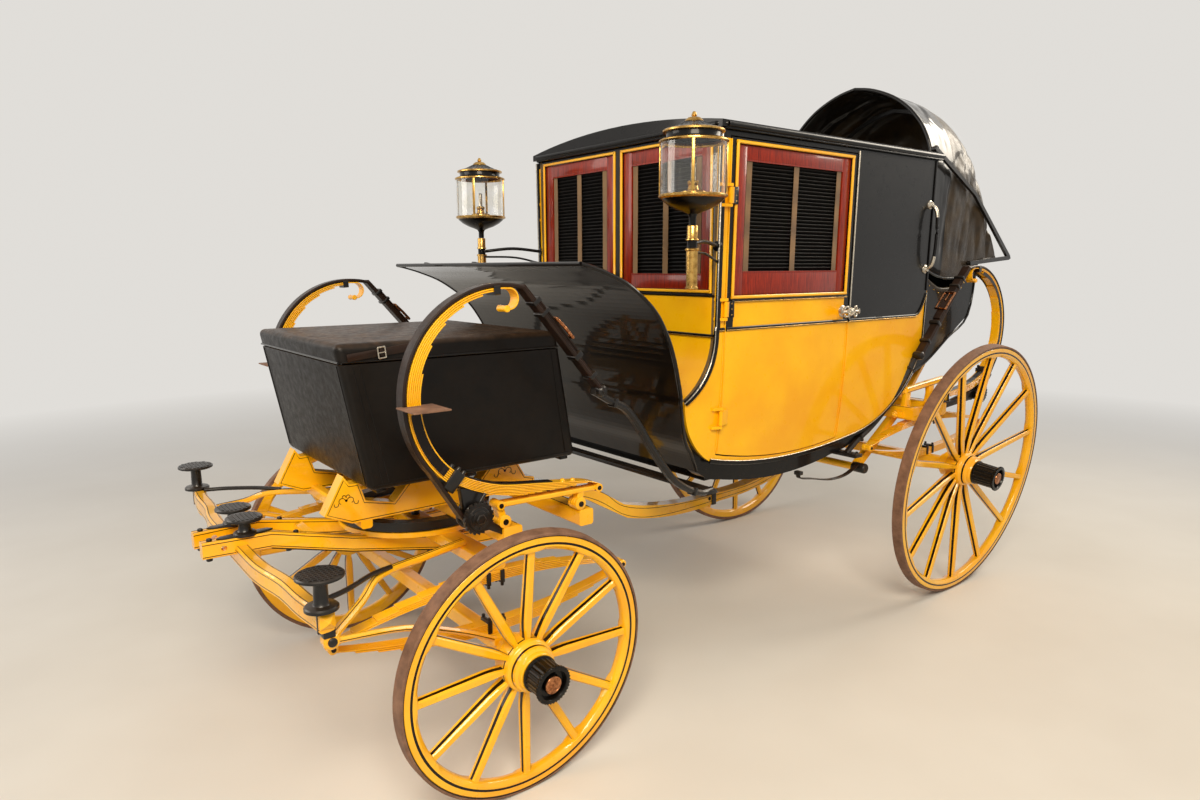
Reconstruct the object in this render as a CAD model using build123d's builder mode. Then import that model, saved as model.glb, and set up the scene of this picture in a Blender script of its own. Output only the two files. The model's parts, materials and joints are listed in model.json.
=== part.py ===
from build123d import *
import math
import os

# Travelling coach on C-springs, millimetres, X forward, Y to the coach's left, Z up from the ground.
# The origin is on the ground, midway along the whole coach and on its middle line.

# Overall places
WHEELBASE = 2666
FRONT_REACH = 770
REAR_REACH = 925
REAR_AXLE_X = (REAR_REACH - WHEELBASE - FRONT_REACH) / 2
FORE_X = REAR_AXLE_X + WHEELBASE
FACE_TRACK = 1566
GAP = 5
RUN_FIT = 0.05

# Wheels: radius at the outer face, lean of the top outwards, spokes
FRONT_WHEEL_R = 441
REAR_WHEEL_R = 649
FRONT_CAMBER = 3.8
REAR_CAMBER = 6.0
FRONT_SPOKES = 12
REAR_SPOKES = 14
TYRE_T = 12
RIM_W = 46
FELLOE_D = 46
NAVE_R = 86
NAVE_HALF = 84
CAP_R = 52
CAP_OUT = 124
ARM_R = 22
AXLE_BED = 54

# Body: half widths of the side at the roof, belt and bottom, and its heights
ROOF_HALF = 622
BELT_HALF = 606
BOTTOM_HALF = 550
PANEL = 28
CANT_Z = 2196
BELT_Z = 1435
BODY_FRONT = 1652
BODY_BACK = 140
DOOR_FRONT = 1604
DOOR_BACK = 800
ROOF_RISE = 78
ROOF_T = 24
EAVE_HALF = ROOF_HALF + 16
EAVE_H = 26

# Springs and braces
SPRING_Y = 630
SPRING_W = 46
FRONT_C_X = -24
FRONT_C_Z = 1290
FRONT_C_R = 331
REAR_C_X = -270
REAR_C_Z = 1345
REAR_C_R = 325
LEAF_T = 9
BRACE_T = 8
UNDER_Y = 580
UNDER_W = 44
UNDER_HALF = 545

# Trunk
TRUNK_HALF = 412
TRUNK_TOP_Z = 1453
TRUNK_LOW_Z = 978
TRUNK_WALL = 14
LID_H = 60

# Turning gear
RING_R = 285
RING_W = 44
RING_Z = 740
PLATE_T = 18
KINGPIN_R = 16

os.makedirs("parts", exist_ok=True)
SIDES = (("left", 1), ("right", -1))
CUT_HALF = 700


def rear_plane(y):
    """Upright plane at y, measured forward from the rear axle."""
    return Plane(origin=(REAR_AXLE_X, y, 0), x_dir=(1, 0, 0), z_dir=(0, -1, 0))


def fore_plane(y):
    """Upright plane at y, measured forward from the kingpin."""
    return Plane(origin=(FORE_X, y, 0), x_dir=(1, 0, 0), z_dir=(0, -1, 0))


def save(piece, name):
    piece.part.label = name
    export_step(piece.part, f"parts/{name}.step")


def wheel_frame(x, side, radius, camber):
    """Plane on the wheel's outer face, its normal along the axle arm and outwards."""
    c = math.radians(camber)
    origin = (x, side * (FACE_TRACK / 2 + radius * math.sin(c)), radius * math.cos(c))
    return Plane(origin=origin, x_dir=(1, 0, 0), z_dir=(0, side * math.cos(c), -math.sin(c)))


def profile_frame(face):
    """Plane through a wheel's axis: x is the radius, y runs outwards along the axis."""
    return Plane(origin=face.origin, x_dir=face.x_dir, z_dir=face.x_dir.cross(face.z_dir))


def spoke_outline(wide, deep):
    """Eight-sided spoke section."""
    a, b = wide / 2, deep / 2
    Polygon((a, -b / 2), (a, b / 2), (a / 2, b), (-a / 2, b), (-a, b / 2), (-a, -b / 2), (-a / 2, -b),
            (a / 2, -b), align=None)


def build_wheel(corner, x, side, radius, camber, spokes):
    """Felloe with spokes and nave, iron tyre and black hub cap of one wheel."""
    face = wheel_frame(x, side, radius, camber)
    section = profile_frame(face)
    axis = Axis(face.origin, face.z_dir)
    lean = math.tan(math.radians(camber))
    felloe_out = radius - TYRE_T
    felloe_in = felloe_out - FELLOE_D
    root = -RIM_W / 2 - (felloe_in - NAVE_R) * lean
    with BuildPart() as tyre:
        with BuildSketch(section):
            Polygon((felloe_out, 0), (radius, 0), (radius + RIM_W * lean, -RIM_W), (felloe_out, -RIM_W),
                    align=None)
        revolve(axis=axis)
    save(tyre, f"tyre_{corner}")

    turn = math.radians(180 / spokes)
    out = face.x_dir * math.cos(turn) + face.y_dir * math.sin(turn)
    start = face.origin + out * (NAVE_R - 12) + face.z_dir * root
    end = face.origin + out * (felloe_in + 6) - face.z_dir * (RIM_W / 2)
    way = (end - start).normalized()
    across = way.cross(face.z_dir)
    with BuildPart() as spoke:
        with BuildSketch(Plane(origin=start, x_dir=across, z_dir=way)):
            spoke_outline(30, 40)
        with BuildSketch(Plane(origin=end, x_dir=across, z_dir=way)):
            spoke_outline(24, 30)
        loft(ruled=True)

    with BuildPart() as wheel:
        with BuildSketch(section):
            Polygon((felloe_in + 4, -2), (felloe_out, -2), (felloe_out, 2 - RIM_W),
                    (felloe_in + 4, 2 - RIM_W), (felloe_in, 6 - RIM_W), (felloe_in, -6), align=None)
        revolve(axis=axis)
        with BuildSketch(section):
            Polygon((ARM_R + RUN_FIT, root - NAVE_HALF), (62, root - NAVE_HALF), (66, root - 50),
                    (NAVE_R, root - 30), (NAVE_R, root + 30), (66, root + 50), (CAP_R, root + NAVE_HALF),
                    (ARM_R + RUN_FIT, root + NAVE_HALF), align=None)
        revolve(axis=axis)
        add([spoke.part.rotate(axis, 360 * number / spokes) for number in range(spokes)])
    save(wheel, f"wheel_{corner}")

    with BuildPart() as cap:
        with BuildSketch(section):
            Polygon((30, root + NAVE_HALF), (CAP_R + 10, root + NAVE_HALF), (CAP_R + 10, root + NAVE_HALF + 12),
                    (CAP_R, root + NAVE_HALF + 14), (CAP_R - 4, CAP_OUT - 6), (CAP_R - 12, CAP_OUT),
                    (0, CAP_OUT), (0, CAP_OUT - 30), (30, CAP_OUT - 34), align=None)
        revolve(axis=axis)
    save(cap, f"hub_{corner}")
    return face, root


# Wheels
FRONT = {}
REAR = {}
for name, side in SIDES:
    front = (FRONT_WHEEL_R, FRONT_CAMBER, FRONT_SPOKES)
    rear = (REAR_WHEEL_R, REAR_CAMBER, REAR_SPOKES)
    FRONT[side] = build_wheel(f"front_{name}", FORE_X, side, *front)
    REAR[side] = build_wheel(f"rear_{name}", REAR_AXLE_X, side, *rear)


def build_axle(name, ends, x, bed_half, bed_z):
    """Square bed between the springs with a round arm into each nave."""
    with BuildPart() as axle:
        with BuildSketch(Plane(origin=(x, -bed_half, 0), x_dir=(1, 0, 0), z_dir=(0, 1, 0))):
            with Locations((0, -bed_z)):
                RectangleRounded(50, AXLE_BED, 8)
        extrude(amount=2 * bed_half)
        for face, root in ends:
            inner = root - NAVE_HALF
            with BuildSketch(face.offset(inner - 130)):
                Circle(ARM_R)
            extrude(amount=CAP_OUT - 40 - inner + 130)
            with BuildSketch(face.offset(inner - 18)):
                Circle(44)
            extrude(amount=15)
    save(axle, name)
    return axle


FRONT_BED_Z = 450
REAR_BED_Z = 664
HIND_BED_Z = 944
HIND_BED_T = 64
TURN_BED_T = 44
fore_axle = build_axle("fore_axle", FRONT.values(), FORE_X, 665, FRONT_BED_Z)
hind_axle = build_axle("hind_axle", REAR.values(), REAR_AXLE_X, 668, REAR_BED_Z)


def leaf_arc(half, low_z, rise, thick, x=0):
    """One bowed leaf, eye to eye, arched up by rise (down if negative)."""
    grow = thick if rise > 0 else -thick
    with BuildLine() as outline:
        ThreePointArc((x - half, low_z), (x, low_z + rise), (x + half, low_z))
        Line((x + half, low_z), (x + half, low_z + grow))
        ThreePointArc((x + half, low_z + grow), (x, low_z + rise + grow), (x - half, low_z + grow))
        Line((x - half, low_z + grow), (x - half, low_z))
    make_face(outline.edges())


UNDER_LEAVES = ((1.0, 0), (0.82, 1), (0.62, 2), (0.42, 3))


def build_elliptics(name, plane_at, low_z, top_z, axle, x=0):
    """A pair of full-elliptic leaf springs between an axle bed and the bed above it."""
    mid_z = (low_z + top_z) / 2
    half_height = (top_z - low_z) / 2
    rise = half_height - 5 * LEAF_T
    with BuildPart() as springs:
        for _, side in SIDES:
            with BuildSketch(plane_at(side * UNDER_Y + UNDER_W / 2)):
                for way in (1, -1):
                    for share, layer in UNDER_LEAVES:
                        half = UNDER_HALF * share
                        base = mid_z + way * (6 + layer * LEAF_T)
                        drop = rise * (1 - share * share)
                        leaf_arc(half, base + way * drop, way * rise * share * share, LEAF_T, x)
                with Locations((x - UNDER_HALF, mid_z), (x + UNDER_HALF, mid_z)):
                    Circle(16)
                with Locations((x, mid_z + half_height - 22), (x, mid_z - half_height + 22)):
                    Rectangle(90, 44)
            extrude(amount=UNDER_W)
        add(axle.part, mode=Mode.SUBTRACT)
    save(springs, name)


build_elliptics("fore_springs", fore_plane, FRONT_BED_Z + AXLE_BED / 2, RING_Z - TURN_BED_T, fore_axle)
build_elliptics("hind_springs", rear_plane, REAR_BED_Z + AXLE_BED / 2, HIND_BED_Z - HIND_BED_T / 2, hind_axle)

# Hind and fore beds that carry the C-springs, and the perch between them
BED_Z = 824
BED_T = 58
BED_HALF = 655
# bars across the coach: place, width, middle height, depth, half length
FORE_BARS = ((-40, 70, BED_Z, BED_T, BED_HALF), (-337, 60, BED_Z, BED_T, BED_HALF), (300, 40, 838, 44, 276))
HIND_BARS = ((0, 80), (250, 60))
CHECK_BAR = (556, 696)
CHECK_HALF = 580
PERCH_W = 64
PERCH_BAND = (1045, 510)
PERCH_BAND_W = 28
PERCH_BAND_H = 66
PERCH_BAND_T = 5

with BuildPart() as perch:
    with BuildSketch(rear_plane(PERCH_W / 2)):
        with BuildLine():
            Polyline((WHEELBASE + 40, BED_Z + 30), (WHEELBASE - 330, BED_Z + 26), (1816, 700), (1640, 590))
            ThreePointArc((1640, 590), (1387, 540), (1000, 534))
            ThreePointArc((1000, 534), (700, 556), (420, 640))
            Polyline((420, 640), (0, 720), (-25, 720), (-25, REAR_BED_Z + 27), (0, REAR_BED_Z + 27), (400, 590))
            ThreePointArc((400, 590), (700, 512), (1000, 488))
            ThreePointArc((1000, 488), (1387, 478), (1620, 520))
            Polyline((1620, 520), (1850, 650), (WHEELBASE - 340, BED_Z - 24), (WHEELBASE + 40, BED_Z - 24),
                     (WHEELBASE + 40, BED_Z + 30))
        make_face()
    extrude(amount=PERCH_W)
    with BuildSketch(rear_plane(PERCH_W / 2 + PERCH_BAND_T)):
        with Locations(PERCH_BAND):
            Rectangle(PERCH_BAND_W, PERCH_BAND_H)
    extrude(amount=PERCH_W + 2 * PERCH_BAND_T)
    with BuildSketch(Plane.XY.offset(BED_Z - 24)):
        with Locations((FORE_X, 0)):
            Circle(KINGPIN_R + 14)
    extrude(amount=-10)
    add(hind_axle.part, mode=Mode.SUBTRACT)
save(perch, "perch")

with BuildPart() as fore_bed:
    for place, wide, height, deep, reach in FORE_BARS:
        with BuildSketch(fore_plane(reach)):
            with Locations((place, height)):
                RectangleRounded(wide, deep, 10)
        extrude(amount=2 * reach)
    for _, side in SIDES:
        with BuildSketch(fore_plane(side * 250 + 26)):
            with BuildLine():
                Polyline((-370, BED_Z + 20), (350, BED_Z + 20), (440, BED_Z + 60), (372, TRUNK_LOW_Z + 30),
                         (352, TRUNK_LOW_Z), (320, TRUNK_LOW_Z), (300, BED_Z + 90), (200, BED_Z + 66),
                         (120, TRUNK_LOW_Z), (60, TRUNK_LOW_Z), (-20, BED_Z + 70), (-120, BED_Z + 70),
                         (-200, TRUNK_LOW_Z), (-280, TRUNK_LOW_Z), (-330, BED_Z + 70), (-370, BED_Z + 60),
                         (-370, BED_Z + 20))
            make_face()
        extrude(amount=52)
    add(perch.part, mode=Mode.SUBTRACT)
save(fore_bed, "fore_bed")

with BuildPart() as hind_bed:
    for place, wide in HIND_BARS:
        with BuildSketch(rear_plane(BED_HALF)):
            with Locations((place, HIND_BED_Z)):
                RectangleRounded(wide, HIND_BED_T, 12)
        extrude(amount=2 * BED_HALF)
    for _, side in SIDES:
        with BuildSketch(rear_plane(side * UNDER_Y + 22)):
            with BuildLine():
                Polyline((-60, HIND_BED_Z - 20), (300, HIND_BED_Z - 20), (300, HIND_BED_Z + 10),
                         (-60, HIND_BED_Z + 10), (-60, HIND_BED_Z - 20))
            make_face()
        extrude(amount=44)
        with BuildSketch(rear_plane(side * 520 + 16)):
            with BuildLine():
                Polyline((250, HIND_BED_Z - 16), (CHECK_BAR[0] - 4, CHECK_BAR[1] + 22),
                         (CHECK_BAR[0] + 14, CHECK_BAR[1] - 12), (CHECK_BAR[0] - 22, CHECK_BAR[1] - 14),
                         (210, HIND_BED_Z - 34), (250, HIND_BED_Z - 16))
            make_face()
        extrude(amount=32)
    with BuildSketch(rear_plane(CHECK_HALF)):
        with Locations(CHECK_BAR):
            Circle(19)
    extrude(amount=2 * CHECK_HALF)
save(hind_bed, "hind_bed")


def ring_sector(x, z, inner, outer, start, end):
    """Flat ring sector, angles in degrees from forwards, anticlockwise seen from the right side."""
    def at(radius, angle):
        turn = math.radians(angle)
        return (x + radius * math.cos(turn), z + radius * math.sin(turn))
    middle = (start + end) / 2
    with BuildLine() as outline:
        ThreePointArc(at(outer, start), at(outer, middle), at(outer, end))
        Line(at(outer, end), at(inner, end))
        ThreePointArc(at(inner, end), at(inner, middle), at(inner, start))
        Line(at(inner, start), at(outer, start))
    make_face(outline.edges())


# leaf number from the outside, and the angle from its foot that it reaches
C_LEAVES = ((0, 141), (1, 128), (2, 106), (3, 84), (4, 62))
C_FOOT = 47
FOOT_LAP = 3
CURL_R = 36
CURL_BACK = 22
CURL_TURN = 195
# straight leaves behind the foot, from the centre of the C: where each lower leaf ends, behind its centre
TAIL_ENDS = (-72, -170, -260)
TAIL_LEAVES = 4
TAIL_TIP = (-376, -356)
LINK_FRONT = (27, -361)
LINK_REAR = (-370, -371)
KNUCKLES = ((11, -418), (-291, -415))
KNUCKLE_R = 24
TAIL_MIDDLE = (-27, -301)
TAIL_SLOPE = 0.12
TAIL_BOW = 0.0011
# tread plate beside the spring: from and to forward of the kingpin, reach out, height, thickness
TREAD = (221, 337, 122, 1278, 6)


def tail_top(ahead):
    """Height of the tail's upper face over the centre of the C, at a distance ahead of it."""
    way = ahead - TAIL_MIDDLE[0]
    return TAIL_MIDDLE[1] + way * TAIL_SLOPE + TAIL_BOW * max(0, way) ** 2


def build_c_springs(name, plane_at, x, z, radius, facing, seats, linked, bed):
    """Pair of C-springs: fanned leaves with a curled head, a clipped foot and a stack of leaves behind."""
    def at(ahead, up):
        return (x + facing * ahead, z + up)

    with BuildPart() as springs:
        for _, side in SIDES:
            with BuildSketch(plane_at(side * SPRING_Y + SPRING_W / 2)):
                for leaf, reach in C_LEAVES:
                    outer = radius - leaf * LEAF_T
                    low, high = -C_FOOT - FOOT_LAP, reach - C_FOOT
                    if facing < 0:
                        low, high = 180 - high, 180 - low
                    ring_sector(x, z, outer - LEAF_T - 0.5, outer, low, high)
                curl = at(-CURL_BACK, radius - CURL_R)
                turn = (88, 88 + CURL_TURN) if facing > 0 else (92 - CURL_TURN, 92)
                ring_sector(*curl, CURL_R - LEAF_T, CURL_R, *turn)
                with Locations(at(-CURL_BACK + 9, radius - 2 * CURL_R + 5)):
                    Circle(10)
                foot = math.radians(C_FOOT)
                heel = (radius * math.cos(foot), -radius * math.sin(foot))
                thick = TAIL_LEAVES * LEAF_T
                with BuildLine():
                    top = [at(place, tail_top(place)) for place in (168, 60, -27)]
                    Line(at(heel[0] - 38, heel[1] + 38), top[0])
                    ThreePointArc(*top)
                    lower = at(TAIL_TIP[0], TAIL_TIP[1] - LEAF_T)
                    Polyline(top[-1], at(-300, tail_top(-300)), at(*TAIL_TIP), lower)
                    for leaf, place in enumerate(reversed(TAIL_ENDS), 1):
                        above = at(place, tail_top(place) - leaf * LEAF_T)
                        below = at(place, tail_top(place) - (leaf + 1) * LEAF_T)
                        Polyline(lower, above, below)
                        lower = below
                    Line(lower, at(-27, tail_top(-27) - thick))
                    ThreePointArc(at(-27, tail_top(-27) - thick), at(66, tail_top(60) - thick + 2),
                                  at(182, tail_top(168) - thick + 4))
                    Polyline(at(182, tail_top(168) - thick + 4), at(heel[0] + 4, heel[1] - 4),
                             at(heel[0] - 38, heel[1] + 38))
                make_face()
                for place, height, wide in seats:
                    high = tail_top(place) - LEAF_T
                    with Locations(at(place, (high + height) / 2)):
                        Rectangle(wide, high - height)
                if linked:
                    with BuildLine():
                        Polyline(at(LINK_FRONT[0], LINK_FRONT[1] + 8), at(LINK_REAR[0], LINK_REAR[1] + 8),
                                 at(LINK_REAR[0], LINK_REAR[1] - 8), at(LINK_FRONT[0], LINK_FRONT[1] - 8),
                                 at(LINK_FRONT[0], LINK_FRONT[1] + 8))
                    make_face()
                    with Locations(at(*LINK_FRONT), at(*LINK_REAR)):
                        Circle(15)
                    for (ahead, up), hung in zip(KNUCKLES, (LINK_FRONT, (KNUCKLES[1][0] - 9, LINK_REAR[1]))):
                        with Locations(at(ahead, up)):
                            Circle(KNUCKLE_R)
                        with BuildLine():
                            Polyline(at(hung[0] - 14, hung[1]), at(hung[0] + 14, hung[1]), at(ahead + 16, up),
                                     at(ahead - 16, up), at(hung[0] - 14, hung[1]))
                        make_face()
            extrude(amount=SPRING_W)
            clip = Plane(origin=plane_at(side * SPRING_Y).from_local_coords((*at(190, -252), 0)),
                         x_dir=(0, 1, 0), z_dir=(facing, 0, 0.9))
            with BuildSketch(clip.offset(-20)):
                Rectangle(SPRING_W + 16, 70)
            extrude(amount=40)
        if linked:
            near, far, reach, height, plate = TREAD
            with BuildSketch(Plane.XY.offset(height)):
                for _, side in SIDES:
                    with Locations((FORE_X + (near + far) / 2, side * (SPRING_Y + SPRING_W / 4 + reach / 2))):
                        Rectangle(far - near, reach)
            extrude(amount=plate)
        add(bed.part, mode=Mode.SUBTRACT)
    save(springs, name)
    return springs


front_c = build_c_springs("front_c_springs", fore_plane, FRONT_C_X, FRONT_C_Z, FRONT_C_R, 1,
                          ((*LINK_FRONT, 30),), True, fore_bed)
rear_c = build_c_springs("rear_c_springs", rear_plane, REAR_C_X, REAR_C_Z, REAR_C_R, -1,
                         ((-240, HIND_BED_Z + HIND_BED_T / 2 - REAR_C_Z, 60),), False, hind_bed)

# Leather braces over the C-springs, and the iron loops under the body's corners
BRACE_W = 44
DRUM_R = 44
FRONT_DRUM = (92, 909)
REAR_DRUM = (-385, 990)


def build_braces(name, plane_at, x, z, radius, facing, low_angle, leave_angle, end, drum, springs):
    """Pair of leather straps: off a drum, up round the back of the C, over its head and down to the loop."""
    with BuildPart() as braces:
        for _, side in SIDES:
            with BuildSketch(plane_at(side * SPRING_Y + BRACE_W / 2)):
                inner = radius + 1
                outer = inner + BRACE_T
                if facing > 0:
                    ring_sector(x, z, inner, outer, low_angle, leave_angle)
                else:
                    ring_sector(x, z, inner, outer, 180 - leave_angle, 180 - low_angle)
                turn = math.radians(leave_angle)
                top_in = (x + facing * inner * math.cos(turn), z + inner * math.sin(turn))
                top_out = (x + facing * outer * math.cos(turn), z + outer * math.sin(turn))
                run = math.hypot(end[0] - top_in[0], end[1] - top_in[1])
                nx, nz = (top_in[1] - end[1]) / run, (end[0] - top_in[0]) / run
                half = 15 if nz < 0 else -15
                with BuildLine():
                    Polyline(top_in, top_out, (end[0] - nx * half, end[1] - nz * half),
                             (end[0] + nx * half, end[1] + nz * half), top_in)
                make_face()
                low = math.radians(low_angle)
                low_in = (x + facing * inner * math.cos(low), z + inner * math.sin(low))
                low_out = (x + facing * outer * math.cos(low), z + outer * math.sin(low))
                off = (drum[0] + facing * DRUM_R, drum[1])
                with BuildLine():
                    Polyline(low_in, low_out, off, (off[0] - facing * BRACE_T, off[1]), low_in)
                make_face()
            extrude(amount=BRACE_W)
        add(springs.part, mode=Mode.SUBTRACT)
    save(braces, name)
    return braces


front_braces = build_braces("front_braces", fore_plane, FRONT_C_X, FRONT_C_Z, FRONT_C_R, 1, -40, 103,
                            (-412, 1262), FRONT_DRUM, front_c)
rear_braces = build_braces("rear_braces", rear_plane, REAR_C_X, REAR_C_Z, REAR_C_R, -1, -40, 103,
                           (216, 1240), REAR_DRUM, rear_c)

# Cabin: the side's section, curved under towards the bottom
SILL_LOW = 764


def side_section(out, inn):
    """Section of one side wall between two offsets in from its outer face, left side."""
    with BuildLine() as outline:
        Line((ROOF_HALF - out, CANT_Z), (BELT_HALF - out, BELT_Z))
        ThreePointArc((BELT_HALF - out, BELT_Z), (BELT_HALF - 12 - out, 1130),
                      (BOTTOM_HALF - out, SILL_LOW - 20))
        Line((BOTTOM_HALF - out, SILL_LOW - 20), (BOTTOM_HALF - inn, SILL_LOW - 20))
        ThreePointArc((BOTTOM_HALF - inn, SILL_LOW - 20), (BELT_HALF - 12 - inn, 1130),
                      (BELT_HALF - inn, BELT_Z))
        Line((BELT_HALF - inn, BELT_Z), (ROOF_HALF - inn, CANT_Z))
        Line((ROOF_HALF - inn, CANT_Z), (ROOF_HALF - out, CANT_Z))
    make_face(outline.edges())


def room_section():
    """Section of the space between the two side walls."""
    with BuildLine() as outline:
        Line((ROOF_HALF - PANEL, CANT_Z), (BELT_HALF - PANEL, BELT_Z))
        ThreePointArc((BELT_HALF - PANEL, BELT_Z), (BELT_HALF - 12 - PANEL, 1130),
                      (BOTTOM_HALF - PANEL, SILL_LOW - 20))
        Line((BOTTOM_HALF - PANEL, SILL_LOW - 20), (PANEL - BOTTOM_HALF, SILL_LOW - 20))
        ThreePointArc((PANEL - BOTTOM_HALF, SILL_LOW - 20), (PANEL + 12 - BELT_HALF, 1130),
                      (PANEL - BELT_HALF, BELT_Z))
        Line((PANEL - BELT_HALF, BELT_Z), (PANEL - ROOF_HALF, CANT_Z))
        Line((PANEL - ROOF_HALF, CANT_Z), (ROOF_HALF - PANEL, CANT_Z))
    make_face(outline.edges())


NOSE = (1806, 1160)
TOE = (1640, 900)
KEEL = (1180, 842)
HEEL = (664, 878)
TAIL = (150, 1270)


def body_outline(inset):
    """The body seen from the side; inset moves the front, bottom and back walls inwards."""
    with BuildLine() as outline:
        Line((BODY_FRONT - inset, CANT_Z), (BODY_FRONT - inset, BELT_Z))
        nose = (NOSE[0] - 1.2 * inset, NOSE[1] + 0.3 * inset)
        toe = (TOE[0] - 0.6 * inset, TOE[1] + inset)
        heel = (HEEL[0] + 0.3 * inset, HEEL[1] + inset)
        ThreePointArc((BODY_FRONT - inset, BELT_Z), (1690 - inset, 1270), nose)
        ThreePointArc(nose, (1758 - inset, 1010 + 0.4 * inset), toe)
        ThreePointArc(toe, (KEEL[0], KEEL[1] + inset), heel)
        ThreePointArc(heel, (337 + 0.7 * inset, 1020 + 0.7 * inset), (TAIL[0] + inset, TAIL[1]))
        Line((TAIL[0] + inset, TAIL[1]), (BODY_BACK + inset, BELT_Z))
        Line((BODY_BACK + inset, BELT_Z), (BODY_BACK + inset, CANT_Z))
        Line((BODY_BACK + inset, CANT_Z), (BODY_FRONT - inset, CANT_Z))
    make_face(outline.edges())


def door_outline(gap):
    """The door's edges seen from the side, or its opening with a gap all round."""
    with BuildLine() as outline:
        Polyline((DOOR_BACK - gap, 888 - gap), (DOOR_BACK - gap, 2166 + gap), (DOOR_FRONT + gap, 2166 + gap),
                 (DOOR_FRONT + gap, 926 - gap))
        ThreePointArc((DOOR_FRONT + gap, 926 - gap), (1180, 868 - gap), (DOOR_BACK - gap, 888 - gap))
    make_face(outline.edges())


WALL_X = REAR_AXLE_X + 60
WALL_L = 1900
HINGE_TOP = (DOOR_FRONT + 8, 631, 1950)
HINGE_LOW = (DOOR_FRONT + 8, 603, 1080)
HINGE_ZS = (1950, 1515, 1080)
HINGE_R = 9
HINGE_PIN_R = 4.5
HINGE_LENGTH = 60


def hinge_frame(side, z):
    """Plane square to the door's hinge line at a height."""
    share = (z - HINGE_LOW[2]) / (HINGE_TOP[2] - HINGE_LOW[2])
    y = HINGE_LOW[1] + share * (HINGE_TOP[1] - HINGE_LOW[1])
    lean = Vector(0, side * (HINGE_TOP[1] - HINGE_LOW[1]), HINGE_TOP[2] - HINGE_LOW[2]).normalized()
    return Plane(origin=(REAR_AXLE_X + HINGE_TOP[0], side * y, z), x_dir=(1, 0, 0), z_dir=lean)


with BuildPart() as wall:
    with BuildSketch(Plane.YZ.offset(WALL_X)):
        side_section(0, PANEL)
    extrude(amount=WALL_L)
    with BuildSketch(rear_plane(CUT_HALF)):
        body_outline(0)
    extrude(amount=CUT_HALF, mode=Mode.INTERSECT)
    with BuildSketch(rear_plane(CUT_HALF)):
        door_outline(GAP)
    extrude(amount=CUT_HALF, mode=Mode.SUBTRACT)

with BuildPart() as body_sides:
    add(wall.part)
    mirror(about=Plane.XZ)
    for _, side in SIDES:
        for z in HINGE_ZS:
            frame = hinge_frame(side, z)
            with BuildSketch(frame.offset(-HINGE_LENGTH / 2 - 14)):
                Circle(HINGE_PIN_R)
            extrude(amount=HINGE_LENGTH + 28)
            for low in (-HINGE_LENGTH / 2 - 14, HINGE_LENGTH / 2 + 2):
                with BuildSketch(frame.offset(low)):
                    Circle(HINGE_R)
                    with BuildLine():
                        Polyline((0, side * 8), (44, -side * 4), (44, -side * 22), (9, -side * 30), (9, 0),
                                 (0, side * 8))
                    make_face()
                extrude(amount=12)
save(body_sides, "body_sides")


# Window openings: door, and the pair in the front wall
DOOR_WINDOW = (836, 1564, 1567, 2146)
FRONT_WINDOW_Y = (30, 566)
FRONT_WINDOW_Z = (1590, 2166)
RAIL = 56
SASH_T = 16


def build_door(name, side):
    with BuildPart() as door:
        with BuildSketch(Plane.YZ.offset(WALL_X)):
            side_section(0, PANEL)
        extrude(amount=WALL_L)
        with BuildSketch(rear_plane(CUT_HALF)):
            door_outline(0)
        extrude(amount=CUT_HALF, mode=Mode.INTERSECT)
        left, right, low, high = DOOR_WINDOW
        with BuildSketch(rear_plane(CUT_HALF)):
            with Locations(((left + right) / 2, (low + high) / 2)):
                Rectangle(right - left, high - low)
        extrude(amount=CUT_HALF, mode=Mode.SUBTRACT)
        for z in HINGE_ZS:
            frame = hinge_frame(1, z)
            with BuildSketch(frame.offset(-HINGE_LENGTH / 2)):
                Circle(HINGE_R)
                with BuildLine():
                    Polyline((0, 8), (-44, -4), (-44, -22), (-8.5, -28), (-8.5, 0), (0, 8))
                make_face()
                Circle(HINGE_PIN_R + RUN_FIT, mode=Mode.SUBTRACT)
            extrude(amount=HINGE_LENGTH)
        with BuildSketch(rear_plane(BELT_HALF + 44)):
            with Locations((DOOR_BACK + 34, 1476)):
                SlotOverall(120, 22)
        extrude(amount=12)
        with BuildSketch(rear_plane(BELT_HALF + 40)):
            with Locations((DOOR_BACK + 44, 1476)):
                Circle(11)
        extrude(amount=50)
        if side < 0:
            mirror(about=Plane.XZ, mode=Mode.REPLACE)
    save(door, name)
    return door


doors = {}
for name, side in SIDES:
    doors[side] = build_door(f"door_{name}", side)


def sash_face(x_low, x_high, z_low, z_high):
    """Outer size of a sash that fills a window opening."""
    with Locations(((x_low + x_high) / 2, (z_low + z_high) / 2)):
        Rectangle(x_high - x_low, z_high - z_low)


x_low, x_high, z_low, z_high = DOOR_WINDOW
with BuildPart() as pane:
    with BuildSketch(Plane.YZ.offset(WALL_X)):
        side_section(0, 12)
    extrude(amount=WALL_L)
    with BuildSketch(rear_plane(CUT_HALF)):
        sash_face(x_low + RAIL, x_high - RAIL, z_low + RAIL + 30, z_high - RAIL)
    extrude(amount=CUT_HALF, mode=Mode.INTERSECT)

for name, side in SIDES:
    with BuildPart() as sash:
        with BuildSketch(Plane.YZ.offset(WALL_X)):
            side_section(5, 5 + SASH_T)
        extrude(amount=WALL_L)
        with BuildSketch(rear_plane(CUT_HALF)):
            sash_face(x_low, x_high, z_low, z_high)
        extrude(amount=CUT_HALF, mode=Mode.INTERSECT)
        add(pane.part, mode=Mode.SUBTRACT)
        if side < 0:
            mirror(about=Plane.XZ, mode=Mode.REPLACE)
    save(sash, f"door_sash_{name}")

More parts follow.
